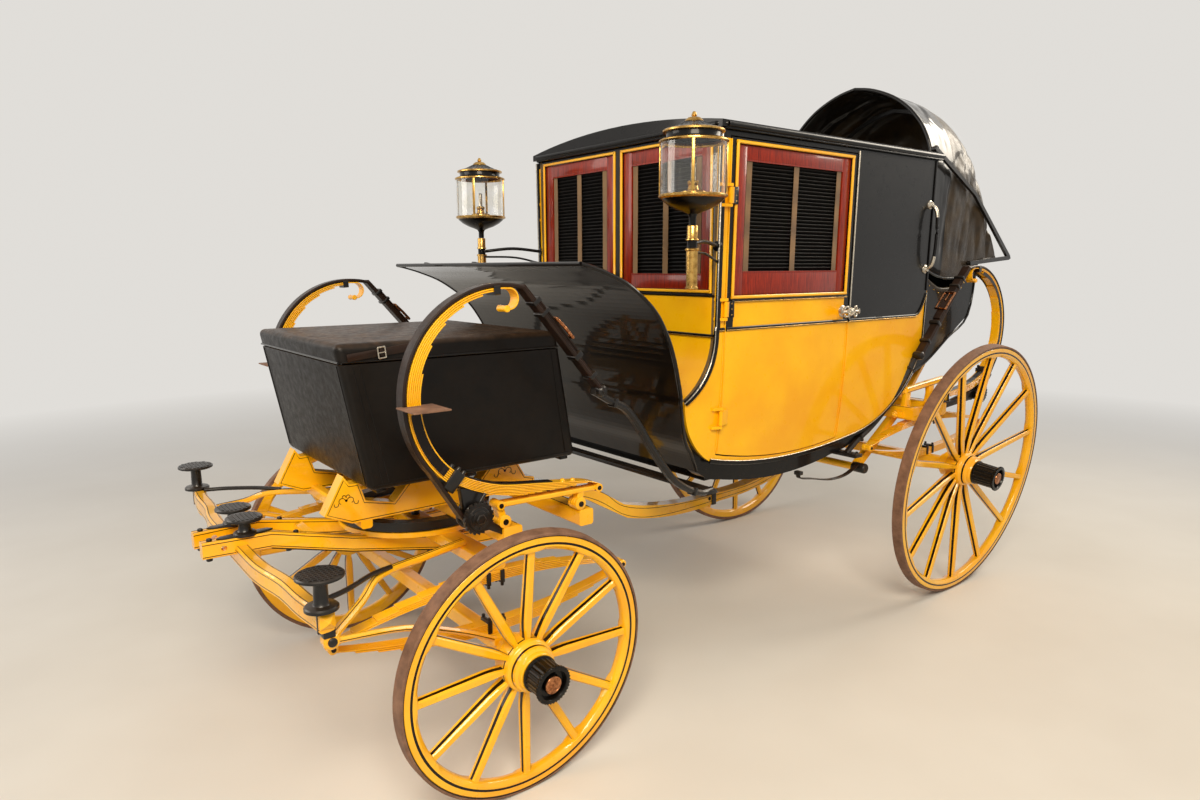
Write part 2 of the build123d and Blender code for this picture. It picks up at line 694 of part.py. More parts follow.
# Front, back, roof and floor of the cabin
with BuildPart() as shell:
    with BuildSketch(rear_plane(CUT_HALF)):
        body_outline(0)
    extrude(amount=2 * CUT_HALF)
    with BuildSketch(rear_plane(CUT_HALF)):
        body_outline(PANEL)
    extrude(amount=2 * CUT_HALF, mode=Mode.SUBTRACT)
    with BuildSketch(Plane.YZ.offset(WALL_X)):
        room_section()
    extrude(amount=WALL_L, mode=Mode.INTERSECT)

with BuildPart() as body_front:
    add(shell.part)
    with BuildSketch(rear_plane(CUT_HALF)):
        with BuildLine():
            Polyline((1560, CANT_Z + 50), (1560, 1000), (1700, 870), (1900, 870), (1900, CANT_Z + 50),
                     (1560, CANT_Z + 50))
        make_face()
    extrude(amount=2 * CUT_HALF, mode=Mode.INTERSECT)
    low_y, high_y = FRONT_WINDOW_Y
    low_z, high_z = FRONT_WINDOW_Z
    middle_y = (low_y + high_y) / 2
    middle_z = (low_z + high_z) / 2
    with BuildSketch(Plane.YZ.offset(REAR_AXLE_X + BODY_FRONT - 60)):
        with Locations((middle_y, middle_z), (-middle_y, middle_z)):
            Rectangle(high_y - low_y, high_z - low_z)
    extrude(amount=120, mode=Mode.SUBTRACT)
save(body_front, "body_front")

with BuildPart() as front_sashes:
    for _, side in SIDES:
        middle = (side * middle_y, middle_z)
        with BuildSketch(Plane.YZ.offset(REAR_AXLE_X + BODY_FRONT - 5 - SASH_T)):
            with Locations(middle):
                Rectangle(high_y - low_y, high_z - low_z)
        extrude(amount=SASH_T)
        with BuildSketch(Plane.YZ.offset(REAR_AXLE_X + BODY_FRONT - 12)):
            with Locations(middle):
                Rectangle(high_y - low_y - 2 * RAIL, high_z - low_z - 2 * RAIL)
        extrude(amount=20, mode=Mode.SUBTRACT)
save(front_sashes, "front_sashes")

with BuildPart() as body_back:
    add(shell.part)
    with BuildSketch(rear_plane(CUT_HALF)):
        with BuildLine():
            Polyline((60, CANT_Z + 50), (500, CANT_Z + 50), (500, 1080), (420, 940), (60, 940),
                     (60, CANT_Z + 50))
        make_face()
    extrude(amount=2 * CUT_HALF, mode=Mode.INTERSECT)
save(body_back, "body_back")

with BuildPart() as body_floor:
    add(shell.part)
    add(body_front.part, mode=Mode.SUBTRACT)
    add(body_back.part, mode=Mode.SUBTRACT)
    with BuildSketch(rear_plane(CUT_HALF)):
        with Locations((1000, 950)):
            Rectangle(1900, 500)
    extrude(amount=2 * CUT_HALF, mode=Mode.INTERSECT)
save(body_floor, "body_floor")

with BuildPart() as body_sill:
    with BuildSketch(rear_plane(BOTTOM_HALF)):
        with BuildLine():
            ThreePointArc((TOE[0] + 90, TOE[1] + 78), (1700, 945), TOE)
            ThreePointArc(TOE, KEEL, HEEL)
            ThreePointArc(HEEL, (490, 925), (337, 1020))
            Line((337, 1020), (326, 1004))
            ThreePointArc((326, 1004), (560, 858), (800, 800))
            ThreePointArc((800, 800), (1180, SILL_LOW), (1560, 806))
            ThreePointArc((1560, 806), (1690, 862), (TOE[0] + 110, TOE[1] + 62))
            Line((TOE[0] + 110, TOE[1] + 62), (TOE[0] + 90, TOE[1] + 78))
        make_face()
    extrude(amount=2 * BOTTOM_HALF)
    with BuildSketch(rear_plane(BOTTOM_HALF - 60)):
        with Locations((1000, 900)):
            Rectangle(1900, 500)
    extrude(amount=2 * BOTTOM_HALF - 120, mode=Mode.SUBTRACT)
    for place in (700, 1180, 1560):
        with BuildSketch(rear_plane(BOTTOM_HALF - 50)):
            with Locations((place, 812)):
                Rectangle(70, 34)
        extrude(amount=2 * BOTTOM_HALF - 100)
    for piece in (body_sides, body_front, body_floor, body_back):
        add(piece.part, mode=Mode.SUBTRACT)
save(body_sill, "body_sill")

with BuildPart() as body_roof:
    with BuildSketch(Plane.YZ.offset(REAR_AXLE_X + BODY_BACK - 22)):
        with BuildLine():
            Line((-EAVE_HALF, CANT_Z), (EAVE_HALF, CANT_Z))
            Line((EAVE_HALF, CANT_Z), (EAVE_HALF, CANT_Z + EAVE_H))
            ThreePointArc((EAVE_HALF, CANT_Z + EAVE_H), (0, CANT_Z + ROOF_RISE), (-EAVE_HALF, CANT_Z + EAVE_H))
            Line((-EAVE_HALF, CANT_Z + EAVE_H), (-EAVE_HALF, CANT_Z))
        make_face()
    extrude(amount=BODY_FRONT - BODY_BACK + 44)
    with BuildSketch(Plane.YZ.offset(REAR_AXLE_X + BODY_BACK + PANEL)):
        with BuildLine():
            Line((PANEL - ROOF_HALF, CANT_Z), (ROOF_HALF - PANEL, CANT_Z))
            ThreePointArc((ROOF_HALF - PANEL, CANT_Z), (0, CANT_Z + ROOF_RISE - ROOF_T),
                          (PANEL - ROOF_HALF, CANT_Z))
        make_face()
    extrude(amount=BODY_FRONT - BODY_BACK - 2 * PANEL, mode=Mode.SUBTRACT)
save(body_roof, "body_roof")

with BuildPart() as cabin_seat:
    with BuildSketch(rear_plane(500)):
        with BuildLine():
            Polyline((250, 1330), (200, 1760), (280, 1770), (330, 1350), (640, 1330), (640, 1250), (620, 1240),
                     (620, 920), (580, 930), (330, 1120), (250, 1330))
        make_face()
    extrude(amount=1000)
save(cabin_seat, "cabin_seat")

# Patent-leather dash in front of the cabin, wider at its top
DASH_TOP_HALF = 704
DASH_LOW_HALF = 560

with BuildPart() as dash:
    with BuildSketch(rear_plane(DASH_TOP_HALF)):
        with BuildLine():
            Line((1745, 958), (1790, 1000))
            ThreePointArc((1790, 1000), (1862, 1140), (1905, 1300))
            ThreePointArc((1905, 1300), (2050, 1560), (2378, 1697))
            Line((2378, 1697), (2384, 1685))
            ThreePointArc((2384, 1685), (2062, 1549), (1920, 1296))
            ThreePointArc((1920, 1296), (1877, 1134), (1800, 985))
            Line((1800, 985), (1752, 945))
            Line((1752, 945), (1745, 958))
        make_face()
    extrude(amount=2 * DASH_TOP_HALF)
    with BuildSketch(Plane.YZ.offset(REAR_AXLE_X + 1700)):
        Polygon((-DASH_LOW_HALF, 900), (DASH_LOW_HALF, 900), (DASH_TOP_HALF - 40, 1400),
                (DASH_TOP_HALF, 1720), (-DASH_TOP_HALF, 1720), (40 - DASH_TOP_HALF, 1400), align=None)
    extrude(amount=760, mode=Mode.INTERSECT)
    add(body_sill.part, mode=Mode.SUBTRACT)
save(dash, "dash")

# Iron loops that the braces hang the body from
with BuildPart() as body_irons:
    for _, side in SIDES:
        with BuildSketch(rear_plane(side * (SPRING_Y - 4) + 18)):
            with BuildLine():
                Polyline((2268, 1268), (2280, 1248), (2140, 1168), (2030, 1020), (1900, 860), (1760, 790),
                         (1640, 780), (1640, 796), (1750, 812), (1880, 885), (2008, 1040), (2120, 1192),
                         (2268, 1268))
            make_face()
        extrude(amount=36)
        with BuildSketch(rear_plane(side * (SPRING_Y - 4) + 18)):
            with BuildLine():
                Polyline((200, 1250), (232, 1236), (300, 1100), (420, 960), (600, 850), (700, 792), (690, 776),
                         (590, 832), (400, 938), (278, 1085), (200, 1250))
            make_face()
        extrude(amount=36)
    for place, height in ((1672, 788), (676, 786)):
        with BuildSketch(rear_plane(SPRING_Y + 14)):
            with Locations((place, height)):
                RectangleRounded(58, 20, 6)
        extrude(amount=2 * SPRING_Y + 28)
    for piece in (body_sill, front_braces, rear_braces):
        add(piece.part, mode=Mode.SUBTRACT)
save(body_irons, "body_irons")

# Trunk on the fore bed, with a lid hinged along its rear edge
TRUNK_TOP = (-392, 425)
TRUNK_LOW = (-472, 336)
TRUNK_PIN_X = TRUNK_TOP[0] - 22
TRUNK_PIN_R = 4
TRUNK_KNUCKLE_R = 8
TRUNK_HINGE_YS = (-280, 280)


def trunk_section(inset, low, high):
    """Side view of the trunk between two heights, walls moved in by inset."""
    rise = TRUNK_TOP_Z - TRUNK_LOW_Z
    def back(z):
        return TRUNK_LOW[0] + (TRUNK_TOP[0] - TRUNK_LOW[0]) * (z - TRUNK_LOW_Z) / rise + inset
    def front(z):
        return TRUNK_LOW[1] + (TRUNK_TOP[1] - TRUNK_LOW[1]) * (z - TRUNK_LOW_Z) / rise - inset
    Polygon((back(low), low), (front(low), low), (front(high), high), (back(high), high), align=None)


LID_Z = TRUNK_TOP_Z - LID_H
TRUNK_PIN_Z = LID_Z - 2
with BuildPart() as trunk:
    with BuildSketch(fore_plane(TRUNK_HALF)):
        trunk_section(0, TRUNK_LOW_Z, LID_Z - GAP)
    extrude(amount=2 * TRUNK_HALF)
    with BuildSketch(fore_plane(TRUNK_HALF - TRUNK_WALL)):
        trunk_section(TRUNK_WALL, TRUNK_LOW_Z + TRUNK_WALL, LID_Z + 40)
    extrude(amount=2 * (TRUNK_HALF - TRUNK_WALL), mode=Mode.SUBTRACT)
    for y in TRUNK_HINGE_YS:
        with BuildSketch(fore_plane(y + 40)):
            with Locations((TRUNK_PIN_X, TRUNK_PIN_Z)):
                Circle(TRUNK_PIN_R)
        extrude(amount=80)
        for ear in (-40, 34):
            with BuildSketch(fore_plane(y + ear + 6)):
                with Locations((TRUNK_PIN_X, TRUNK_PIN_Z)):
                    Circle(TRUNK_KNUCKLE_R)
                with BuildLine():
                    Polyline((TRUNK_PIN_X - 8, LID_Z - 2), (TRUNK_PIN_X - 8, LID_Z - 40),
                             (TRUNK_PIN_X + 14, LID_Z - 40), (TRUNK_PIN_X + 14, LID_Z - 20),
                             (TRUNK_PIN_X + 8, LID_Z - 2), (TRUNK_PIN_X - 8, LID_Z - 2))
                make_face()
            extrude(amount=6)
save(trunk, "trunk")

with BuildPart() as trunk_lid:
    with BuildSketch(fore_plane(TRUNK_HALF)):
        trunk_section(0, LID_Z, TRUNK_TOP_Z)
    extrude(amount=2 * TRUNK_HALF)
    with BuildSketch(fore_plane(TRUNK_HALF - TRUNK_WALL)):
        trunk_section(TRUNK_WALL, LID_Z - 10, TRUNK_TOP_Z - TRUNK_WALL)
    extrude(amount=2 * (TRUNK_HALF - TRUNK_WALL), mode=Mode.SUBTRACT)
    for y in TRUNK_HINGE_YS:
        with BuildSketch(fore_plane(y + 32)):
            with Locations((TRUNK_PIN_X, TRUNK_PIN_Z)):
                Circle(TRUNK_KNUCKLE_R)
            with BuildLine():
                Polyline((TRUNK_PIN_X - 6, LID_Z + 2), (TRUNK_PIN_X - 6, LID_Z + 34),
                         (TRUNK_PIN_X + 26, LID_Z + 34), (TRUNK_PIN_X + 24, LID_Z + 6),
                         (TRUNK_PIN_X + 4, LID_Z + 2), (TRUNK_PIN_X - 6, LID_Z + 2))
            make_face()
            with Locations((TRUNK_PIN_X, TRUNK_PIN_Z)):
                Circle(TRUNK_PIN_R + RUN_FIT, mode=Mode.SUBTRACT)
        extrude(amount=64)
save(trunk_lid, "trunk_lid")

# Carriage lamps on irons from the front pillars
LAMP_X = 1920
LAMP_Y = 739
LAMP_R = 116

with BuildPart() as lamps:
    for _, side in SIDES:
        axis = Axis((REAR_AXLE_X + LAMP_X, side * LAMP_Y, 0), (0, 0, 1))
        with BuildSketch(rear_plane(side * LAMP_Y)):
            Polygon((LAMP_X, 2104), (LAMP_X + LAMP_R + 4, 2104), (LAMP_X + LAMP_R + 4, 2114),
                    (LAMP_X + 106, 2124), (LAMP_X + 108, 2142), (LAMP_X + 78, 2150), (LAMP_X + 66, 2166), (LAMP_X + 30, 2178),
                    (LAMP_X + 12, 2186), (LAMP_X + 12, 2200), (LAMP_X, 2206), align=None)
        revolve(axis=axis)
        with BuildSketch(rear_plane(side * LAMP_Y)):
            Polygon((LAMP_X, 1925), (LAMP_X + LAMP_R + 4, 1925), (LAMP_X + LAMP_R + 4, 1912),
                    (LAMP_X + 92, 1896), (LAMP_X + 40, 1872), (LAMP_X + 14, 1856), (LAMP_X + 14, 1822), (LAMP_X + 24, 1818),
                    (LAMP_X + 24, 1776), (LAMP_X + 30, 1770), (LAMP_X + 30, 1744), (LAMP_X + 22, 1738),
                    (LAMP_X + 20, 1612), (LAMP_X + 12, 1600), (LAMP_X, 1600), align=None)
        revolve(axis=axis)
        with BuildSketch(Plane(origin=(REAR_AXLE_X + LAMP_X, side * LAMP_Y, 1924))):
            with PolarLocations(LAMP_R - 8, 4, start_angle=45):
                Circle(4)
        extrude(amount=181)
        with BuildSketch(Plane.XY.offset(1752)):
            Polygon((REAR_AXLE_X + LAMP_X, side * (LAMP_Y - 10)),
                    (REAR_AXLE_X + BODY_FRONT + 10, side * (BELT_HALF - 14)),
                    (REAR_AXLE_X + BODY_FRONT - 30, side * (BELT_HALF + 11)),
                    (REAR_AXLE_X + LAMP_X, side * (LAMP_Y + 10)), align=None)
        extrude(amount=16)
    add(body_sides.part, mode=Mode.SUBTRACT)
    add(body_front.part, mode=Mode.SUBTRACT)
save(lamps, "lamps")

with BuildPart() as lamp_glasses:
    for _, side in SIDES:
        with BuildSketch(Plane.XY.offset(1925)):
            with Locations((REAR_AXLE_X + LAMP_X, side * LAMP_Y)):
                Circle(LAMP_R)
                Circle(LAMP_R - 3, mode=Mode.SUBTRACT)
        extrude(amount=179)
save(lamp_glasses, "lamp_glasses")

# Rear rumble seat and its folding hood, behind the cabin
RUMBLE_HALF = 476
RUMBLE_WALL = 20

with BuildPart() as rumble:
    with BuildSketch(rear_plane(RUMBLE_HALF)):
        Polygon((118, 1078), (-120, 1160), (-536, 1404), (-606, 1700), (-520, 1664), (-411, 1556),
                (-205, 1548), (-20, 1640), (100, 1640), (118, 1500), align=None)
    extrude(amount=2 * RUMBLE_HALF)
    with BuildSketch(rear_plane(RUMBLE_HALF - RUMBLE_WALL)):
        Polygon((98, 1108), (-100, 1178), (-180, 1230), (-180, 1400), (-490, 1430), (-576, 1720),
                (98, 1720), align=None)
    extrude(amount=2 * (RUMBLE_HALF - RUMBLE_WALL), mode=Mode.SUBTRACT)
save(rumble, "rumble")

with BuildPart() as rumble_cushion:
    with BuildSketch(rear_plane(RUMBLE_HALF - RUMBLE_WALL - 4)):
        Polygon((-170, 1404), (-484, 1434), (-484, 1500), (-170, 1494), align=None)
    extrude(amount=2 * (RUMBLE_HALF - RUMBLE_WALL - 4))
save(rumble_cushion, "rumble_cushion")

HOOD_HALF = 490
HOOD_T = 12
HOOD_TOP = 2655


def hood_arch(inset):
    """Hood seen from the front, between two upright sides and a bowed top."""
    half = HOOD_HALF - inset
    with BuildLine() as outline:
        Line((-half, 1600), (half, 1600))
        Line((half, 1600), (half, 2210))
        ThreePointArc((half, 2210), (0.72 * half, 2492 - inset), (0.3 * half, HOOD_TOP - 40 - inset))
        ThreePointArc((0.3 * half, HOOD_TOP - 40 - inset), (0, HOOD_TOP - inset),
                      (-0.3 * half, HOOD_TOP - 40 - inset))
        ThreePointArc((-0.3 * half, HOOD_TOP - 40 - inset), (-0.72 * half, 2492 - inset), (-half, 2210))
        Line((-half, 2210), (-half, 1600))
    make_face(outline.edges())


with BuildPart() as inside:
    with BuildSketch(Plane.YZ.offset(REAR_AXLE_X - 830)):
        hood_arch(HOOD_T)
    extrude(amount=860)
    with BuildSketch(rear_plane(600)):
        Polygon((30, 1500), (30, 2700), (-424, 2632 - HOOD_T), (-590, 2510), (-688, 2086), (-782, 1716),
                (-700, 1500), align=None)
    extrude(amount=1200, mode=Mode.INTERSECT)

with BuildPart() as hood:
    with BuildSketch(Plane.YZ.offset(REAR_AXLE_X - 830)):
        hood_arch(0)
    extrude(amount=840)
    with BuildSketch(rear_plane(600)):
        Polygon((-30, 1660), (-46, 2700), (-430, 2640), (-600, 2520), (-700, 2090), (-797, 1716),
                (-640, 1716), (-606, 1706), (-520, 1676), (-411, 1610), (-205, 1600), align=None)
    extrude(amount=1200, mode=Mode.INTERSECT)
    add(inside.part, mode=Mode.SUBTRACT)
save(hood, "hood")

with BuildPart() as hood_irons:
    for _, side in SIDES:
        with BuildSketch(rear_plane(side * (HOOD_HALF + 14) + 8)):
            Polygon((-40, 2290), (-58, 2276), (-470, 2080), (-915, 1740), (-REAR_REACH, 1722), (-905, 1714),
                    (-470, 1684), (-460, 1704), (-880, 1736), (-462, 2060), (-50, 2256), (-30, 2270),
                    align=None)
        extrude(amount=16)
        for place in ((-44, 2272), (-476, 1694)):
            with BuildSketch(rear_plane(side * (HOOD_HALF + 8) + 14)):
                with Locations(place):
                    Circle(15)
            extrude(amount=28)
    add(hood.part, mode=Mode.SUBTRACT)
save(hood_irons, "hood_irons")

with BuildPart() as rumble_stays:
    for _, side in SIDES:
        with BuildSketch(rear_plane(side * 400 + 14)):
            Polygon((-60, HIND_BED_Z + 10), (30, HIND_BED_Z + 10), (60, 1098), (-30, 1130), align=None)
            Polygon((-60, HIND_BED_Z + 10), (-30, HIND_BED_Z + 10), (-360, 1300), (-400, 1322), align=None)
        extrude(amount=28)
    add(rumble.part, mode=Mode.SUBTRACT)
    add(hind_bed.part, mode=Mode.SUBTRACT)
save(rumble_stays, "rumble_stays")

# Turning gear: bed, ring, futchells and splinter bar
with BuildPart() as turntable:
    with BuildSketch(Plane.XY.offset(RING_Z)):
        with Locations((FORE_X, 0)):
            Circle(RING_R)
            Circle(RING_R - RING_W, mode=Mode.SUBTRACT)
    extrude(amount=PLATE_T)
    with BuildSketch(fore_plane(UNDER_Y + UNDER_W / 2)):
        with Locations((0, RING_Z - TURN_BED_T / 2)):
            RectangleRounded(78, TURN_BED_T, 8)
    extrude(amount=2 * UNDER_Y + UNDER_W)
    with BuildSketch(Plane.XY.offset(RING_Z - 60)):
        with Locations((FORE_X, 0)):
            Circle(KINGPIN_R + RUN_FIT)
    extrude(amount=120, mode=Mode.SUBTRACT)
save(turntable, "turntable")

with BuildPart() as upper_ring:
    with BuildSketch(Plane.XY.offset(RING_Z + PLATE_T + GAP)):
        with Locations((FORE_X, 0)):
            Circle(RING_R)
            Circle(RING_R - RING_W, mode=Mode.SUBTRACT)
            Rectangle(2 * RING_R - 20, 40)
            Circle(KINGPIN_R + 14)
    extrude(amount=BED_Z - BED_T / 2 - RING_Z - PLATE_T - GAP)
    with BuildSketch(Plane.XY.offset(RING_Z - TURN_BED_T - 10)):
        with Locations((FORE_X, 0)):
            Circle(KINGPIN_R)
    extrude(amount=TURN_BED_T + PLATE_T + 30)
    add(perch.part, mode=Mode.SUBTRACT)
save(upper_ring, "upper_ring")

POLE_Z = 784
# futchell places: forward of the kingpin, across, height
FUTCHELLS = ((FRONT_REACH, 62, POLE_Z), (560, 80, POLE_Z), (300, 118, 724), (-60, 150, 660), (-290, 170, 660))
FUTCHELL_W = 38
FUTCHELL_H = 56
# their cross pieces: place, height, half length
CROSS_PIECES = ((-70, 660, 150), (-270, 660, 170), (420, 752, 98))
POLE_BOLT_X = 706
POLE_BOLT_R = 9

with BuildPart() as futchells:
    for _, side in SIDES:
        for (x1, y1, z1), (x2, y2, z2) in zip(FUTCHELLS[:-1], FUTCHELLS[1:]):
            for x, y, z in ((x1, y1, z1), (x2, y2, z2)):
                with BuildSketch(Plane(origin=(FORE_X + x, side * y, z), x_dir=(0, 1, 0), z_dir=(-1, 0, 0))):
                    RectangleRounded(FUTCHELL_W, FUTCHELL_H, 6)
            loft(ruled=True)
    with BuildSketch(fore_plane(140)):
        with Locations((POLE_BOLT_X, POLE_Z)):
            Circle(POLE_BOLT_R)
    extrude(amount=280, mode=Mode.SUBTRACT)
    for place, height, half in CROSS_PIECES:
        with BuildSketch(fore_plane(half)):
            with Locations((place, height)):
                Rectangle(30, 36)
        extrude(amount=2 * half)
    add(turntable.part, mode=Mode.SUBTRACT)
save(futchells, "futchells")

# splinter bar: centre forward of the kingpin in the middle, beyond the futchells and at its ends
BAR_MIDDLE_X = 652
BAR_WING_X = 624
BAR_END_X = 610
BAR_LOW = 720
BAR_HIGH = 784
BAR_DEEP = 44
BAR_HALF = 762
BAR_TIP = 24
# roller bolts: forward of the kingpin, across, foot's height, flange radius, disc's underside, disc radius
ROLLERS = ((617, 747, BAR_HIGH, 46, 872, 65), (636, 70, POLE_Z + FUTCHELL_H / 2, 36, 862, 58))
ROLLER_POST_R = 20
ROLLER_PLATE_T = 12


def bar_edge(shift):
    """Front or rear edge of the splinter bar, seen from above, from the right end to the left."""
    ends = (FORE_X + BAR_END_X + shift, FORE_X + BAR_WING_X + shift, FORE_X + BAR_MIDDLE_X + shift)
    return [(ends[0], -BAR_HALF), (ends[1], -640), (ends[1], -450), (ends[2], -290), (ends[2], 290),
            (ends[1], 450), (ends[1], 640), (ends[0], BAR_HALF)]


with BuildPart() as splinter_bar:
    with BuildSketch(Plane.XY.offset(BAR_LOW)):
        with BuildLine():
            Polyline(*bar_edge(BAR_DEEP / 2), *reversed(bar_edge(-BAR_DEEP / 2)), close=True)
        make_face()
    extrude(amount=BAR_HIGH - BAR_LOW)
    fillet(splinter_bar.edges().filter_by(lambda edge: abs(edge.center().Z - (BAR_LOW + BAR_HIGH) / 2) > 30), 6)
    for side in (-1, 1):
        tip = Plane(origin=(FORE_X + BAR_END_X, side * BAR_HALF, (BAR_LOW + BAR_HIGH) / 2), x_dir=(1, 0, 0),
                    z_dir=(0, side, 0))
        with BuildSketch(tip):
            Rectangle(BAR_DEEP - 2, BAR_DEEP + 2)
        extrude(amount=BAR_TIP, taper=34)
        for x, y, foot, flange_r, disc_z, disc_r in ROLLERS:
            spot = (FORE_X + x, side * y)
            with BuildSketch(Plane.XY.offset(foot)):
                with Locations(spot):
                    Circle(flange_r)
            extrude(amount=ROLLER_PLATE_T)
            with BuildSketch(Plane.XY.offset(foot)):
                with Locations(spot):
                    Circle(ROLLER_POST_R)
            extrude(amount=disc_z - foot)
            with BuildSketch(Plane.XY.offset(disc_z)):
                with Locations(spot):
                    Circle(disc_r)
            extrude(amount=ROLLER_PLATE_T)
    add(futchells.part, mode=Mode.SUBTRACT)
save(splinter_bar, "splinter_bar")

# irons from the outer roller bolts back to the turning bed: forward of the kingpin, across, height
WHEEL_IRONS = ((612, 716, 776), (380, 570, 764), (24, 430, 750))
IRON_W = 26
IRON_H = 22

with BuildPart() as fore_stays:
    for _, side in SIDES:
        for (x1, y1, z1), (x2, y2, z2) in zip(WHEEL_IRONS[:-1], WHEEL_IRONS[1:]):
            for x, y, z in ((x1, y1, z1), (x2, y2, z2)):
                with BuildSketch(Plane(origin=(FORE_X + x, side * y, z), x_dir=(0, 1, 0), z_dir=(-1, 0, 0))):
                    RectangleRounded(IRON_W, IRON_H, 6)
            loft(ruled=True)
    add(turntable.part, mode=Mode.SUBTRACT)
    add(splinter_bar.part, mode=Mode.SUBTRACT)
save(fore_stays, "fore_stays")

# Ratchet drums that tighten the braces, each on a bracket between the spring's tail and the bed
TOOTH_COUNT = 20
RATCHET_R = 54
FRONT_BRACKET = ((60, 996), (140, 1008), (124, 905), (92, 880), (-10, 826), (-10, 848), (52, 900))
REAR_BRACKET = ((-430, 1066), (-350, 1052), (-345, 1010), (-36, 962), (-36, 938), (-385, 962), (-420, 985))
JACKS = ((fore_plane, FRONT_DRUM, FRONT_BRACKET), (rear_plane, REAR_DRUM, REAR_BRACKET))

with BuildPart() as brace_jacks:
    for plane_at, drum, bracket in JACKS:
        for _, side in SIDES:
            with BuildSketch(plane_at(side * SPRING_Y + 30)):
                with Locations(drum):
                    Circle(DRUM_R)
            extrude(amount=60)
            with BuildSketch(plane_at(side * (SPRING_Y + 36) + 6)):
                with Locations(drum):
                    Circle(RATCHET_R)
                    with PolarLocations(RATCHET_R + 1, TOOTH_COUNT):
                        RegularPolygon(7, 3, mode=Mode.SUBTRACT)
            extrude(amount=12)
            with BuildSketch(plane_at(side * (SPRING_Y + 47) + 11)):
                with Locations(drum):
                    RegularPolygon(18, 6)
            extrude(amount=22)
            with BuildSketch(plane_at(side * SPRING_Y + 14)):
                Polygon(*bracket, align=None)
            extrude(amount=28)
    for piece in (front_c, rear_c, fore_bed, hind_bed, front_braces, rear_braces):
        add(piece.part, mode=Mode.SUBTRACT)
save(brace_jacks, "brace_jacks")
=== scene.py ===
import bpy
import bmesh
import json
import math
from mathutils import Matrix, Vector, noise

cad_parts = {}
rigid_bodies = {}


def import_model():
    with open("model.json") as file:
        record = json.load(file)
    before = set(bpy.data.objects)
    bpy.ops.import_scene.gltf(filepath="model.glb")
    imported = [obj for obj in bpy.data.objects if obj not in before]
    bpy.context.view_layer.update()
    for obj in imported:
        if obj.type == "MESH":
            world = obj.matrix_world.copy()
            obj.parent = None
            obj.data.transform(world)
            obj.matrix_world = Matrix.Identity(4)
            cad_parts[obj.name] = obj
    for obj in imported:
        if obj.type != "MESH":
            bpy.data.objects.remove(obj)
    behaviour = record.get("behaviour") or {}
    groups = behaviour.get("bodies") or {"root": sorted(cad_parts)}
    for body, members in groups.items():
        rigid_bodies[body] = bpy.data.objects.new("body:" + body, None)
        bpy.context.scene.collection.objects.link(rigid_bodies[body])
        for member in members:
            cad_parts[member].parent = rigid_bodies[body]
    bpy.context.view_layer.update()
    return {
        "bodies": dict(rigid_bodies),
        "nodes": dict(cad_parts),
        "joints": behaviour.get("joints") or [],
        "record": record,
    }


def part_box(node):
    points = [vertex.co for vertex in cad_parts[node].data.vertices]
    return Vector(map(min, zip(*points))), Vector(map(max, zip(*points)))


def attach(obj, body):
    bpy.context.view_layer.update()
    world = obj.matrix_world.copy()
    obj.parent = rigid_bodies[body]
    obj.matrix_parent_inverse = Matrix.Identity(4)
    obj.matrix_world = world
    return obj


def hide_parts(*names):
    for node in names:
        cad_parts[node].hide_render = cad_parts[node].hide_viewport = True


# Travelling coach: the looks. Places are millimetres forward of the rear axle, to the coach's left and up
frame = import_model()

MM = 0.001
SIDES = (("left", 1), ("right", -1))
FORWARD = Vector((1, 0, 0))
LATERAL = Vector((0, 1, 0))
UP = Vector((0, 0, 1))


def middle_x(node_name):
    """Middle of a frame node along the coach, in metres."""
    low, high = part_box(node_name)
    return (low.x + high.x) / 2


REAR_AXLE_X = middle_x("tyre_rear_left")
WHEELBASE = (middle_x("tyre_front_left") - REAR_AXLE_X) / MM


def mm(x, y, z):
    """A move given in millimetres, in metres."""
    return Vector((x * MM, y * MM, z * MM))


def spot(x, y, z):
    """A place in the coach, millimetres from the rear axle, as a point in metres."""
    return Vector((REAR_AXLE_X + x * MM, y * MM, z * MM))


# Materials
def colour(code):
    """Linear RGBA of an sRGB hex colour."""
    parts = [int(code[i:i + 2], 16) / 255 for i in (1, 3, 5)]
    return [p / 12.92 if p <= 0.04045 else ((p + 0.055) / 1.055) ** 2.4 for p in parts] + [1.0]


def feed(socket, value):
    """Gives a socket a number, a hex colour or the output of another node."""
    if isinstance(value, bpy.types.NodeSocket):
        socket.id_data.links.new(value, socket)
    else:
        socket.default_value = colour(value) if isinstance(value, str) else value


def node(tree, kind, *feeds, out=0, **settings):
    """Adds a node, with its operation after a dot: feeds go to its sockets in order, settings by name."""
    kind, _, operation = kind.partition(".")
    made = tree.nodes.new("ShaderNode" + kind)
    if operation:
        made.operation = operation
    for name, value in settings.items():
        if name.islower():
            setattr(made, name, value)
        else:
            feed(made.inputs[name], value)
    for socket, value in zip([s for s in made.inputs if s.enabled], feeds):
        feed(socket, value)
    return made.outputs[out] if isinstance(out, str) else [s for s in made.outputs if s.enabled][out]


